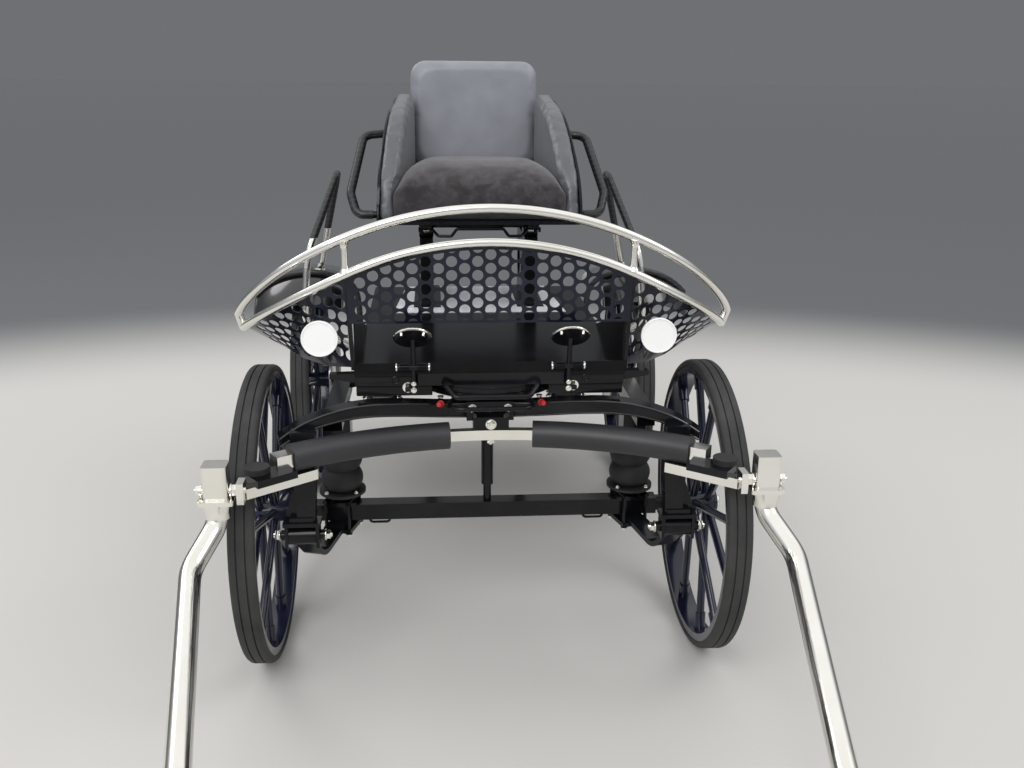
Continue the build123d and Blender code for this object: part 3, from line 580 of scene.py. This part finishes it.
def inSidePadRoom(place):
    wall = sidePad["wall"] - sidePad["wallGap"] - (place.y - sidePad["front"]) * wallSlope
    nearest = wall - blend(*sidePad["room"], aboveCushion(place.z))
    width = (nearest, wall) if place.x > 0 else (-wall, -nearest)
    rearmost = sidePad["rearmost"][0 if abs(place.x) > sidePad["backrestSide"] else 1]
    return boxed(place, width, (sidePad["frontmost"], rearmost), sidePad["height"])


def makeSidePads():
    bm = bmesh.new()
    bmesh.ops.create_grid(bm, x_segments=28, y_segments=14, size=1.0)
    for vert in bm.verts:
        along, up = (vert.co.x + 1) / 2, (vert.co.y + 1) / 2
        crest = onLine(sidePad["crest"], along)
        foot = Vector((0, blend(sidePad["footFront"], sidePad["footBack"], along), sidePad["bottom"]))
        vert.co = foot.lerp(crest, up) + Vector((sidePad["outer"], 0, 0))
    for vert in newVerts(bmesh.ops.extrude_face_region(bm, geom=bm.faces[:])):
        # the pad is thicker above the cushion than beside it
        vert.co.x += blend(sidePad["thin"], sidePad["thick"], aboveCushion(vert.co.z)) - sidePad["outer"]
    bmesh.ops.rotate(bm, verts=bm.verts, cent=(0, sidePad["front"], 0), matrix=turned(sidePad["turn"], "Z", 3))
    bmesh.ops.translate(bm, verts=bm.verts, vec=(sidePad["wall"], 0, 0))
    mirrored = newVerts(bmesh.ops.duplicate(bm, geom=bm.verts[:] + bm.edges[:] + bm.faces[:]))
    bmesh.ops.scale(bm, verts=mirrored, vec=(-1, 1, 1))
    pads = newPad("sidePads", bm, "grey_leatherette", "seat_side_pads")
    swellPad(pads, sidePad["voxel"], sidePad["cap"], inSidePadRoom, sidePad["share"])


makeCushion()
makeBackrest()
makeSidePads()
print("seat padded")

# edge strip of the seat, slides and grab bars

eachSide = ((-1, "left"), (1, "right"))

shellStrip = {
    "crest": [(0.766, 1.126), (0.767, 1.138), (0.795, 1.226), (0.875, 1.312), (0.982, 1.391), (1.087, 1.434),
              (1.284, 1.456)],
    "off": 0.004, "lift": 0.001, "radius": 0.0046,
}


def makeShellStrips():
    for side, sideName in eachSide:
        points = [(side * (sidePad["wall"] + shellStrip["off"] - (y - sidePad["front"]) * wallSlope), y,
                   z + shellStrip["lift"]) for y, z in shellStrip["crest"]]
        tubesAlong(f"{sideName}SeatStrip", [points], shellStrip["radius"], "black_enamel")


makeShellStrips()

seatSlide = {
    "rail": ((0.034, 0.420, 0.021), (0.160, 1.0, 1.1045)), "bevel": 0.002,
    "clamps": [((0.044, 0.060, 0.036), (0.160, y, 1.078)) for y in (0.91, 1.11)],
    "cross": ((0.320, 0.024, 0.012), (0, 0.825, 1.104)),
    # rollers: how far to each side, back from the rail's end and down, then radius and length
    "rollers": (0.019, 0.012, 0.011, 0.0075, 0.007),
}


def makeSeatSlides():
    # slides with clamps, a cross bar and rollers at their front ends
    bm = bmesh.new()
    aside, inward, down, radius, length = seatSlide["rollers"]
    for side in (-1, 1):
        for size, (x, y, z) in (seatSlide["rail"], *seatSlide["clamps"]):
            addBox(bm, size, (side * x, y, z), seatSlide["bevel"])
        size, (x, y, z) = seatSlide["rail"]
        for reach in (-aside, aside):
            roller = (side * x + reach - length / 2, y - size[1] / 2 + inward, z - down)
            addCylinder(bm, facing(roller, (1, 0, 0)), radius, length, 24, bevel=0.001)
    addBox(bm, *seatSlide["cross"], seatSlide["bevel"])
    keepPiece("seatSlides", bm, "black_enamel", replaced=["seat_slide"])


makeSeatSlides()

seatLever = {
    "corners": [(-0.146, 0.806, 1.099), (-0.124, 0.780, 1.0785), (-0.085, 0.776, 1.0785),
                (-0.069, 0.772, 1.1005), (0.069, 0.772, 1.1005), (0.085, 0.776, 1.0785),
                (0.124, 0.780, 1.0785), (0.146, 0.806, 1.099)],
    "bends": [0.012, 0.009, 0.009, 0.009, 0.009, 0.012], "radius": 0.0045,
}
bentTube("seatLever", seatLever, "black_enamel")

grabWrap = {
    "corners": [(0.318, 0.85, 1.132), (0.366, 0.85, 1.132), (0.386, 0.895, 1.190), (0.354, 1.115, 1.345),
                (0.290, 1.1307, 1.3498)],
    "bends": [0.030, 0.060, 0.040], "radius": 0.0134,
}


for side, sideName in eachSide:
    bentTube(f"{sideName}GrabWrap", grabWrap, "taped_tube", side=side)

shellCorner = {
    "route": [(0.2555, 1.238), (0.2525, 1.266), (0.2440, 1.288), (0.2260, 1.2985), (0.2000, 1.2985),
              (0.1750, 1.2985)],
    "steps": 20, "low": 1.132, "high": 1.449, "thick": 0.003,
}


def makeShellCorners():
    # thin bent sheets that close the shell between its sides and its back
    bm = bmesh.new()
    steps = shellCorner["steps"]
    smooth = [onLine(shellCorner["route"], step / steps) for step in range(steps + 1)]
    for side in (-1, 1):
        first = [bm.verts.new((side * place.x, place.y, shellCorner["low"])) for place in smooth]
        for a, b in zip(first, first[1:]):
            bm.edges.new((a, b))
    top = newVerts(bmesh.ops.extrude_edge_only(bm, edges=bm.edges[:]))
    bmesh.ops.translate(bm, verts=top, vec=(0, 0, shellCorner["high"] - shellCorner["low"]))
    bmesh.ops.recalc_face_normals(bm, faces=bm.faces)
    bmesh.ops.solidify(bm, geom=bm.faces[:], thickness=shellCorner["thick"])
    keepPiece("shellCorners", bm, "black_enamel")


makeShellCorners()

# pedals and reflectors

pedal = {
    "place": (0.19, 0.137, 0.942), "tilt": -42.0,
    # pad: radius, lift, thickness, bevel; ribs: number each way, pitch, shortening, width, height, lift
    "pad": (0.039, 0.0045, 0.004, 0.0012), "ribs": (3, 0.0095, 0.005, 0.0045, 0.003, 0.0095),
    # rim: lift, radius, thickness; and the studs behind it
    "rim": (-0.0005, 0.0445, 0.0032), "studs": ((-0.026, -0.033, -0.0045), (0.026, -0.033, -0.0045)),
    # the pin, the places of its collars and springs along it, and two bolts below it
    "pin": (0.154, 0.862), "collars": (-0.043, 0.036), "springs": (-0.032, 0.0105), "turns": 9,
    "pitch": 0.0026, "bolts": ((0.1475, 0.806, 0.006), (0.1475, 0.822, 0.005)),
}


def makePedalParts():
    rubber, steel, dark = bmesh.new(), bmesh.new(), bmesh.new()
    x, y, z = pedal["place"]
    radius, lift, thick, bevel = pedal["pad"]
    ribs, ribPitch, short, wide, high, ribLift = pedal["ribs"]
    rimLift, *rim = pedal["rim"]
    for middle in (-x, x):
        at = Matrix.Translation((middle, y, z)) @ turned(pedal["tilt"], "X")
        addCylinder(rubber, raised(at, lift), radius, thick, 40, bevel=bevel)
        for rib in range(-ribs, ribs + 1):
            place = rib * ribPitch
            reach = sqrt(radius ** 2 - place ** 2) - short
            addBox(rubber, (2 * reach, wide, high), (0, place, ribLift), 0.0008, at)
        addRing(steel, raised(at, rimLift), *rim, 56, 10)
        for stud in pedal["studs"]:
            back = at @ Matrix.Translation(stud) @ turned(180, "X")
            addCylinder(steel, back, 0.0045, 0.009, 16, 0.0035, 0.0008)
        for end in pedal["collars"]:
            addCylinder(steel, facing((middle + end, *pedal["pin"]), (1, 0, 0)), 0.0105, 0.004, 24, bevel=0.001)
        for turn in range(pedal["turns"]):
            for start in pedal["springs"]:
                pin = (middle + start + turn * pedal["pitch"], *pedal["pin"])
                addRing(dark, facing(pin, (1, 0, 0)), 0.0098, 0.0012, 20, 6)
        for boltY, boltZ, size in pedal["bolts"]:
            addBolt(steel, (middle, boltY, boltZ), (0, -1, 0), size)
    keepPiece("pedalRubbers", rubber, "black_rubber")
    keepPiece("pedalRims", steel, "polished_steel")
    keepPiece("pedalSprings", dark, "black_enamel")


makePedalParts()

reflectorRim = {
    # place, then radius, thickness, steps and sides of each ring
    "place": (0.415, 0.1722, 0.931), "rings": ((0.0425, 0.0022, 64, 10), (0.0385, 0.0009, 64, 8)),
}


def makeReflectorRims():
    bm = bmesh.new()
    x, y, z = reflectorRim["place"]
    for middle in (-x, x):
        for ring in reflectorRim["rings"]:
            addRing(bm, facing((middle, y, z), (0, -1, 0)), *ring)
    keepPiece("reflectorRims", bm, "white_reflector")


makeReflectorRims()
print("seat strips, pedals and reflectors dressed")

# nuts and bolts: each row has a place, a direction and a size

springNuts = [(x, y) for x in (-0.032, 0.032) for y in (-0.041, 0.041)]


def springRows(x, y, degrees, plateX, plateY, plateZ):
    # the nuts under a spring's clamp, turned with it, and the bolts round its plate
    nuts, bolts = [], []
    for nut in springNuts:
        place = turned(degrees, "Z", 3) @ Vector((*nut, 0))
        nuts.append(((x + place.x, y + place.y, 0.3500), (0, 0, -1), 0.008))
    for angle in (45, 135, 225, 315):
        place = turned(angle, "Z", 3) @ Vector((0.0545, 0, 0))
        bolts.append(((plateX + place.x, plateY + place.y, plateZ), (0, 0, 1), 0.0055))
    return bothSides(nuts) + bothSides(bolts)


foreBolts = bothSides([
    ((0.663, -0.07, 0.645), (1, 0, 0), 0.013), ((0.6005, -0.07, 0.645), (-1, 0, 0), 0.0145),
    ((0.525, 0.1, 0.448), (1, 0, 0), 0.0125), ((0.415, 0.1, 0.448), (-1, 0, 0), 0.0125),
    ((0.045, 0.21, 0.736), (0, -1, 0), 0.009), ((0.125, 0.218, 0.767), (0, 0, -1), 0.007),
]) + [((0, 0.17, 0.706), (0, -1, 0), 0.0115), ((0, 0.18, 0.664), (0, 0, -1), 0.0105)]
foreBolts += springRows(0.395, 0.35, 16.7, 0.392, 0.34, 0.468)
boltPiece("foreBolts", "fore_carriage", foreBolts)

bodyBolts = bothSides([
    ((0.385, 1.24, 0.42), (1, 0, 0), 0.0125), ((0.275, 1.24, 0.42), (-1, 0, 0), 0.0125),
    ((0.16, 0.878, 1.082), (0, -1, 0), 0.008), ((0.148, 0.878, 1.094), (0, -1, 0), 0.005),
])
bodyBolts += springRows(0.33, 1.55, 0.0, 0.33, 1.72, 0.3855)
boltPiece("bodyBolts", "chassis", bodyBolts)

# hub caps and the lines on the tyres' side walls

wheelPlace = {"front": (0.597, 0.35, 0.4), "rear": (0.61, 1.55, 0.4)}
hubCap = {
    # how far out it starts; radius and depth of its rim and its dome, and radius at the dome's top
    "reach": 0.044, "rim": (0.0225, 0.009), "dome": (0.0195, 0.0045), "top": 0.010,
    # ring: lift, radius and thickness
    "ring": (0.0005, 0.0295, 0.0016),
}
tyreLine = {"reach": 0.0312, "lines": ((0.3845, 0.0011), (0.3885, 0.0007))}


def makeHubCap(name, side, x, y, z):
    # a domed cap in a thin ring on the hub's outer end
    bm = bmesh.new()
    outward = facing((side * (x + hubCap["reach"]), y, z), (side, 0, 0))
    (radius, depth), dome, (lift, *ring) = hubCap["rim"], hubCap["dome"], hubCap["ring"]
    addCylinder(bm, outward, radius, depth, 40, dome[0], 0.0015)
    addCylinder(bm, raised(outward, depth), *dome, 40, hubCap["top"], 0.0012)
    addRing(bm, raised(outward, lift), *ring, 48, 8)
    keepPiece(name + "HubCap", bm, "polished_steel", name + "_wheel_body")


def makeTyreLines(name, side, x, y, z):
    bm = bmesh.new()
    for face in (-1, 1):
        wall = facing((side * x + face * tyreLine["reach"], y, z), (face, 0, 0))
        for radius, thickness in tyreLine["lines"]:
            addRing(bm, wall, radius, thickness, 160, 6)
    keepPiece(name + "TyreLines", bm, "tyre_rubber", name + "_wheel_body")


for makeOnWheel in (makeHubCap, makeTyreLines):
    for side, sideName in eachSide:
        for end, place in wheelPlace.items():
            makeOnWheel(f"{end}_{sideName}", side, *place)
print("bolts, hub caps and tyre lines on")

# front beam under the floor, lashing bow, rolled edges of the arms and the small red caps

frontBeam = {
    # channel: half width, low, high, front, back and bevel
    "channel": (0.333, 0.8085, 0.8415, 0.1715, 0.206, 0.003),
    # brackets: reach, overlap, lift, share of the channel's depth and height, and how much the end tapers
    "wing": (0.395, 0.002, 0.004, 0.7, 0.72, 0.55),
    "rail": ((0.188, 0.022, 0.032), (0.239, 0.2010, 0.7935)),
    # rims of the slots in the channel's face: radius and thickness
    "slots": (0.10, 0.235), "rim": (0.0085, 0.0012), "rimOut": 0.0008,
}


def makeFrontBeam():
    # a folded channel under the floor's front edge, with short tapered brackets at its ends
    # and lower rails behind it, clear of the turntable
    bm = bmesh.new()
    half, low, high, front, back, bevel = frontBeam["channel"]
    wing, lap, lift, deep, tall, taper = frontBeam["wing"]
    y, z = (front + back) / 2, (low + high) / 2
    addBox(bm, (2 * half, back - front, high - low), (0, y, z), bevel)
    size = Matrix.Diagonal((wing - half + lap, (back - front) * deep, (high - low) * tall, 1))
    railSize, (railX, railY, railZ) = frontBeam["rail"]
    for side in (-1, 1):
        place = Matrix.Translation((side * (half + wing) / 2, y, z + lift)) @ size
        for vert in bmesh.ops.create_cube(bm, size=1.0, matrix=place)["verts"]:
            if abs(vert.co.x) > half + 0.01:
                vert.co.z = blend(vert.co.z, high - lift, taper)
        addBox(bm, railSize, (side * railX, railY, railZ), bevel)
        for slot in frontBeam["slots"]:
            face = facing((side * slot, front - frontBeam["rimOut"], z), (0, -1, 0))
            addRing(bm, face, *frontBeam["rim"], 28, 6)
    keepPiece("frontBeam", bm, "black_enamel")


makeFrontBeam()

lashingBow = {
    "corners": [(-0.119, 0.178, 0.8205), (-0.113, 0.138, 0.8205), (-0.091, 0.106, 0.7990),
                (0.091, 0.106, 0.7990), (0.113, 0.138, 0.8205), (0.119, 0.178, 0.8205)],
    "bends": [0.02, 0.018, 0.018, 0.02], "radius": 0.0062,
}
bentTube("lashingBow", lashingBow, "black_enamel")

armEdge = {
    # along the arm from the middle, and height of its upper and its lower edge
    "rows": [(0.060, 0.7460, 0.7110), (0.150, 0.7525, 0.7205), (0.236, 0.7630, 0.7315),
             (0.322, 0.7665, 0.7380), (0.390, 0.7600, 0.7330), (0.450, 0.7445, 0.7205),
             (0.500, 0.7240, 0.7035), (0.534, 0.7010, 0.6815)],
    "start": (0, 0.255), "heading": (0.9701, -0.2425), "out": 0.0245, "radius": 0.0030,
}


def makeArmEdges():
    (startX, startY), (alongX, alongY) = armEdge["start"], armEdge["heading"]
    out = armEdge["out"]
    rows = []
    for side in (-1, 1):
        for level in (1, 2):
            rows.append([(side * (startX + alongX * row[0] + alongY * out),
                          startY + alongY * row[0] - alongX * out, row[level]) for row in armEdge["rows"]])
    tubesAlong("armEdges", rows, armEdge["radius"], "black_enamel", "fore_carriage", finish=wetFinish)


makeArmEdges()

redCap = {
    "place": (0.124, 0.172, 0.7625), "aim": (0.35, -1, 0.15), "radius": 0.0075, "tip": 0.006, "length": 0.020,
    "collar": 0.0012, "collarLift": 0.003,
}


def makeRedCaps():
    # soft caps over the grease nipples of the turntable
    bm = bmesh.new()
    for side in (-1, 1):
        place, aim = [(side * x, y, z) for x, y, z in (redCap["place"], redCap["aim"])]
        at = facing(place, aim)
        addCylinder(bm, at, redCap["radius"], redCap["length"], 24, redCap["tip"], 0.0015)
        addRing(bm, raised(at, redCap["collarLift"]), redCap["radius"], redCap["collar"], 24, 8)
    keepPiece("redCaps", bm, "black_rubber", "fore_carriage", finish=redFinish)


makeRedCaps()
print("front beam, bow and caps placed")

# mudguards, their bows and the feet of the hoops

mudguard = {
    # the section is an arc: its middle as x and distance from the axle, and its radius to the sheet's top
    "middle": (0.5722, 0.2874), "round": 0.2339, "inner": 0.458, "outer": 0.768, "axle": (1.55, 0.4),
    # angle round the axle from the back, and how far the sheet lies inside the bow's circle there
    "drops": [(132, 0.019), (125, 0.004), (118, 0), (110, 0.024), (100, 0.058), (90, 0.076), (80, 0.081),
              (70, 0.080), (60, 0.076), (50, 0.070)],
    "thick": 0.003, "across": 24, "along": 54, "bead": 0.0042, "beadDrop": 0.0015, "beadSteps": 27,
}
mudguardBow = {
    # where it lies along the sheet, its places across from the outer end, and its leg inside the wheel
    "share": 2 / 9, "radius": 0.0105, "sink": 0.0005,
    "across": (0.768, 0.753, 0.712, 0.668, 0.625, 0.583, 0.540, 0.500, 0.470, 0.456),
    "leg": [(0.430, 1.315, 0.826), (0.408, 1.315, 0.790), (0.403, 1.315, 0.720), (0.402, 1.315, 0.600),
            (0.402, 1.315, 0.5005)],
}


def mudguardPlace(side, x, share, lift=0.0):
    # a place on the mudguard: x, share along it from its front edge, lift off the sheet's top
    angle, drop = onLine(mudguard["drops"], share)
    middleX, middleRadius = mudguard["middle"]
    radius = middleRadius + sqrt(mudguard["round"] ** 2 - (x - middleX) ** 2) + lift - drop
    y, z = mudguard["axle"]
    turn = radians(angle)
    return Vector((side * x, y + radius * cos(turn), z + radius * sin(turn)))


def makeMudguards():
    bm = bmesh.new()
    for side in (-1, 1):
        made = bmesh.ops.create_grid(bm, x_segments=mudguard["across"], y_segments=mudguard["along"], size=1.0)
        faces = list({face for vert in made["verts"] for face in vert.link_faces})
        under = newVerts(bmesh.ops.extrude_face_region(bm, geom=faces))
        for verts, lift in ((made["verts"], 0.0), (under, -mudguard["thick"])):
            for vert in verts:
                x = blend(mudguard["inner"], mudguard["outer"], (vert.co.x + 1) / 2)
                vert.co = mudguardPlace(side, x, (vert.co.y + 1) / 2, lift)
    keepPiece("mudguards", bm, "gloss_black_sheet", replaced=["fender_sheets"], finish=wetFinish)


def makeMudguardBeads():
    # rolled beads along the long edges
    steps = mudguard["beadSteps"]
    rows = [[mudguardPlace(side, x, step / steps, -mudguard["beadDrop"]) for step in range(steps + 1)]
            for side in (-1, 1) for x in (mudguard["inner"], mudguard["outer"])]
    tubesAlong("mudguardBeads", rows, mudguard["bead"], "gloss_black_sheet", finish=wetFinish)


def makeMudguardBows():
    share, lift = mudguardBow["share"], mudguardBow["radius"] - mudguardBow["sink"]
    rows = [[mudguardPlace(side, x, share, lift) for x in mudguardBow["across"]]
            + [(side * x, y, z) for x, y, z in mudguardBow["leg"]] for side in (-1, 1)]
    tubesAlong("mudguardBows", rows, mudguardBow["radius"], "taped_tube", order=4, roundness=4,
               replaced=["fender_tubes"])


makeMudguards()
makeMudguardBeads()
makeMudguardBows()

hoopFoot = {
    "start": (0.5366, 1.3634, 0.8865), "x": 0.543, "share": 0.3106, "radius": 0.0122, "probe": 0.01,
    # flange: radius, thickness and how deep it starts; screws: reach, radius, height
    "flange": (0.021, 0.0045, 0.002), "screws": (0.0168, 0.0034, 0.0022),
}


def makeHoopFeet():
    # the rear leg of each hoop runs on down to a round flange on the mudguard
    bm = bmesh.new()
    x, share, probe = hoopFoot["x"], hoopFoot["share"], hoopFoot["probe"]
    flange, thick, sink = hoopFoot["flange"]
    reach, *screw = hoopFoot["screws"]
    startX, startY, startZ = hoopFoot["start"]
    for side in (-1, 1):
        start, end = Vector((side * startX, startY, startZ)), mudguardPlace(side, x, share)
        sideways = mudguardPlace(side, x + probe, share) - mudguardPlace(side, x - probe, share)
        along = mudguardPlace(side, x, share + probe) - mudguardPlace(side, x, share - probe)
        outward = sideways.cross(along).normalized()
        outward = outward if outward.z > 0 else -outward
        addCylinder(bm, facing(start, end - start), hoopFoot["radius"], (end - start).length, 32, bevel=0.001)
        base = facing(end - outward * sink, outward)
        addCylinder(bm, base, flange, thick, 32, bevel=0.001)
        for degrees in (30, 150, 270):
            spot = base @ turned(degrees, "Z") @ Vector((reach, 0, thick))
            addCylinder(bm, facing(spot, outward), *screw, 6, bevel=0.0004)
    keepPiece("hoopFeet", bm, "polished_steel")


makeHoopFeet()

# welds of the dash posts, and the sleeves on the shafts

postWeld = {
    # each end's height and the way it tapers; the lift, lower and upper radius of its two steps
    "x": 0.350, "y": 0.2, "ends": ((1.0885, 1), (1.1635, -1)), "height": 0.009,
    "steps": ((0, 0.0142, 0.0096), (0.009, 0.0096, 0.0079)),
}


def makePostWelds():
    # small fillets where the dash posts meet the rails
    bm = bmesh.new()
    for x in (-postWeld["x"], postWeld["x"]):
        for low, up in postWeld["ends"]:
            for lift, radius, tip in postWeld["steps"]:
                at = facing((x, postWeld["y"], low + up * lift), (0, 0, up))
                addCylinder(bm, at, radius, postWeld["height"], 32, tip)
    keepPiece("postWelds", bm, "polished_steel")


makePostWelds()

shaftThroat = {
    # height, centre's y, half width, half depth, and how round its corners are
    "rows": [(0.6208, -0.0740, 0.0320, 0.0300, 0.25), (0.6080, -0.0744, 0.0306, 0.0296, 0.45),
             (0.5960, -0.0758, 0.0294, 0.0291, 0.75), (0.5850, -0.0785, 0.0286, 0.0286, 1.0)],
    "x": 0.6310, "corner": 1.28,
}


def makeShaftThroat(side, sideName):
    # tapered sleeve from the square plate down to the round shaft
    bm = bmesh.new()
    middle, before = side * shaftThroat["x"], None
    for z, y, halfWide, halfDeep, roundness in shaftThroat["rows"]:
        verts = bmesh.ops.create_circle(bm, segments=48, radius=1.0)["verts"]
        for vert in verts:
            stretch = min(1 / max(abs(vert.co.x), abs(vert.co.y)), shaftThroat["corner"])
            stretch = blend(stretch, 1.0, roundness)
            vert.co = (middle + vert.co.x * stretch * halfWide, y + vert.co.y * stretch * halfDeep, z)
        edges = edgesOf(verts)
        if before:
            bmesh.ops.bridge_loops(bm, edges=before + edges)
        before = edges
    bmesh.ops.holes_fill(bm, edges=[edge for edge in bm.edges if edge.is_boundary], sides=48)
    keepPiece(f"{sideName}ShaftThroat", bm, "polished_steel", f"{sideName}_shaft_body", sharp=50)


for side, sideName in eachSide:
    makeShaftThroat(side, sideName)
print("mudguards, hoop feet, welds and throats made")

# bright floor sheet and deck strips

floorSheet = {
    "halves": (0.262, 0.232), "ends": (0.778, 1.146), "level": 0.8462, "thick": 0.0016,
    # inner and outer side of a pedestal's cutout, and where it starts
    "feet": (0.118, 0.202, 0.843),
    # small raised lozenges: rows, columns, pitch, first row's place, and the border that they keep
    "lozenges": (12, 17, 0.03, 0.018, 0.014),
    "lozenge": {"radius1": 0.0042, "radius2": 0.003, "depth": 0.0012}, "stretch": (2.6, 0.7, 1, 1),
}


def makeFloorSheet():
    # bright tread sheet under the seat, cut out round the two pedestals
    bm = bmesh.new()
    inner, outer, start = floorSheet["feet"]
    bmesh.ops.create_grid(bm, x_segments=1, y_segments=1, size=1.0)
    for vert in bm.verts:
        along = (vert.co.y + 1) / 2
        vert.co = (vert.co.x * blend(*floorSheet["halves"], along), blend(*floorSheet["ends"], along),
                   floorSheet["level"])
    cuts = [((x, 0, 0), (1, 0, 0)) for x in (-outer, -inner, inner, outer)] + [((0, start, 0), (0, 1, 0))]
    for place, direction in cuts:
        bmesh.ops.bisect_plane(
            bm, geom=bm.verts[:] + bm.edges[:] + bm.faces[:], plane_co=place, plane_no=direction)
    under = [face for face in bm.faces if inner < abs(face.calc_center_median().x) < outer
             and face.calc_center_median().y > start]
    bmesh.ops.delete(bm, geom=under, context="FACES")
    lifted = newVerts(bmesh.ops.extrude_face_region(bm, geom=bm.faces[:]))
    bmesh.ops.translate(bm, verts=lifted, vec=(0, 0, floorSheet["thick"]))
    rows, columns, pitch, first, border = floorSheet["lozenges"]
    lozenge = floorSheet["lozenge"]
    for row in range(rows):
        half = blend(*floorSheet["halves"], row / rows) - border
        y = floorSheet["ends"][0] + first + row * pitch
        for column in range(columns):
            x = (column - columns // 2) * pitch
            if abs(x) > half or (y > start - border and inner - border < abs(x) < outer + border):
                continue
            turn = 45 if (row + column) % 2 else -45
            at = (Matrix.Translation((x, y, floorSheet["level"] + floorSheet["thick"]))
                  @ turned(turn, "Z") @ Matrix.Diagonal(floorSheet["stretch"]))
            bmesh.ops.create_cone(
                bm, cap_ends=True, segments=8, matrix=raised(at, lozenge["depth"] / 2), **lozenge)
    keepPiece("floorSheet", bm, "bright_disc", finish=treadFinish)


deckStrips = {
    "rows": 16, "front": 1.235, "back": 1.915, "pitch": 0.33, "level": 0.504, "size": (0.3102, 0.012, 0.003),
}


def makeDeckStrips():
    bm = bmesh.new()
    size, last = deckStrips["size"], deckStrips["rows"] - 1
    for row in range(last + 1):
        y = blend(deckStrips["front"], deckStrips["back"], row / last)
        for half in (-0.5, 0.5):
            addBox(bm, size, (deckStrips["pitch"] * half, y, deckStrips["level"] + size[2] / 2), 0.001)
    keepPiece("deckStrips", bm, "black_rubber")


makeFloorSheet()
makeDeckStrips()
print("floor sheet and deck strips laid")

# floor, light and camera

studio = {
    "floorSize": 160.0, "floorColor": (0.54, 0.53, 0.51), "farColor": (0.118, 0.123, 0.130),
    # the floor's pale part: its middle, and the distances from it between which it darkens
    "middle": (0, -2.6, 0), "pale": 5.6, "far": 7.4,
    "dimSide": (0.15, 0.155, 0.165), "openSide": (0.55, 0.57, 0.60), "highSky": (1.0, 1.0, 1.0),
    "turn": (-0.35, 0.55), "rise": (0.2, 0.7), "skyStrength": 1.05,
    "lamps": [
        # place, aim, size, power
        ((-2.2, -4.6, 5.2), (0, 0.6, 0.8), 4.0, 200),
        ((4.2, -0.5, 4.8), (0, 0.6, 0.8), 3.0, 58),
        ((-4.6, 3.2, 4.8), (0, 1.2, 0.6), 3.0, 58),
    ],
}


def makeStudioFloor():
    bm = bmesh.new()
    bmesh.ops.create_grid(bm, x_segments=1, y_segments=1, size=studio["floorSize"] / 2)
    mesh = bpy.data.meshes.new("studioFloor")
    bm.to_mesh(mesh)
    bm.free()
    floor = newObject("studioFloor", mesh)
    finish, tree, shader = newFinish("paleFloor", {"Roughness": 0.9})
    middle = addNode(tree, "ShaderNodeVectorMath", {"operation": "SUBTRACT", 1: studio["middle"]}, {
        0: objectPlace(tree)})
    reach = addNode(tree, "ShaderNodeVectorMath", {"operation": "LENGTH"}, {0: middle.outputs["Vector"]})
    darkening = fade(tree, reach.outputs["Value"], studio["pale"], studio["far"], "SMOOTHSTEP")
    shade = spread(tree, darkening, [(0.0, studio["floorColor"]), (1.0, studio["farColor"])])
    tree.links.new(shade, shader.inputs["Base Color"])
    mesh.materials.append(finish)


def makeSky():
    world = bpy.data.worlds.new("softSky")
    bpy.context.scene.world = world
    world.use_nodes = True
    tree = world.node_tree
    sky = tree.nodes["Background"]
    place = addNode(tree, "ShaderNodeTexCoord").outputs["Generated"]
    height = addNode(tree, "ShaderNodeSeparateXYZ", None, {0: place})
    # the low part is dim behind the carriage and open in front of it, the high part is bright all round
    turn = fade(tree, height.outputs["Y"], *studio["turn"])
    low = spread(tree, turn, [(0.0, studio["openSide"]), (1.0, studio["dimSide"])])
    rise = fade(tree, height.outputs["Z"], *studio["rise"], "SMOOTHSTEP")
    tree.links.new(mixed(tree, {0: rise, 6: low}, studio["highSky"]), sky.inputs["Color"])
    sky.inputs["Strength"].default_value = studio["skyStrength"]


def makeLamps():
    for index, (place, target, size, power) in enumerate(studio["lamps"]):
        lamp = bpy.data.lights.new(f"softLamp{index}", "AREA")
        lamp.shape = "DISK"
        lamp.size = size
        lamp.energy = power
        holder = newObject(f"softLamp{index}", lamp)
        holder.location = place
        holder.rotation_euler = (Vector(target) - holder.location).to_track_quat("-Z", "Y").to_euler()


# place, turns in degrees, and lens and sensor in millimetres
cameraSettings = {
    "place": (-0.1328, -2.1988, 1.5705), "yaw": -4.454, "down": 17.72, "roll": 0.572, "lens": 35.39,
    "sensor": 36, "farthest": 100,
}


def makeCamera():
    lens = bpy.data.cameras.new("photoCamera")
    lens.lens = cameraSettings["lens"]
    lens.sensor_width = cameraSettings["sensor"]
    lens.clip_end = cameraSettings["farthest"]
    camera = newObject("photoCamera", lens)
    camera.location = cameraSettings["place"]
    yaw, roll = turned(cameraSettings["yaw"], "Z", 3), turned(cameraSettings["roll"], "Z", 3)
    camera.rotation_euler = (yaw @ turned(90 - cameraSettings["down"], "X", 3) @ roll).to_euler()
    bpy.context.scene.camera = camera


makeStudioFloor()
makeSky()
makeLamps()
makeCamera()
bpy.context.scene.view_settings.view_transform = "Standard"
print("studio ready")
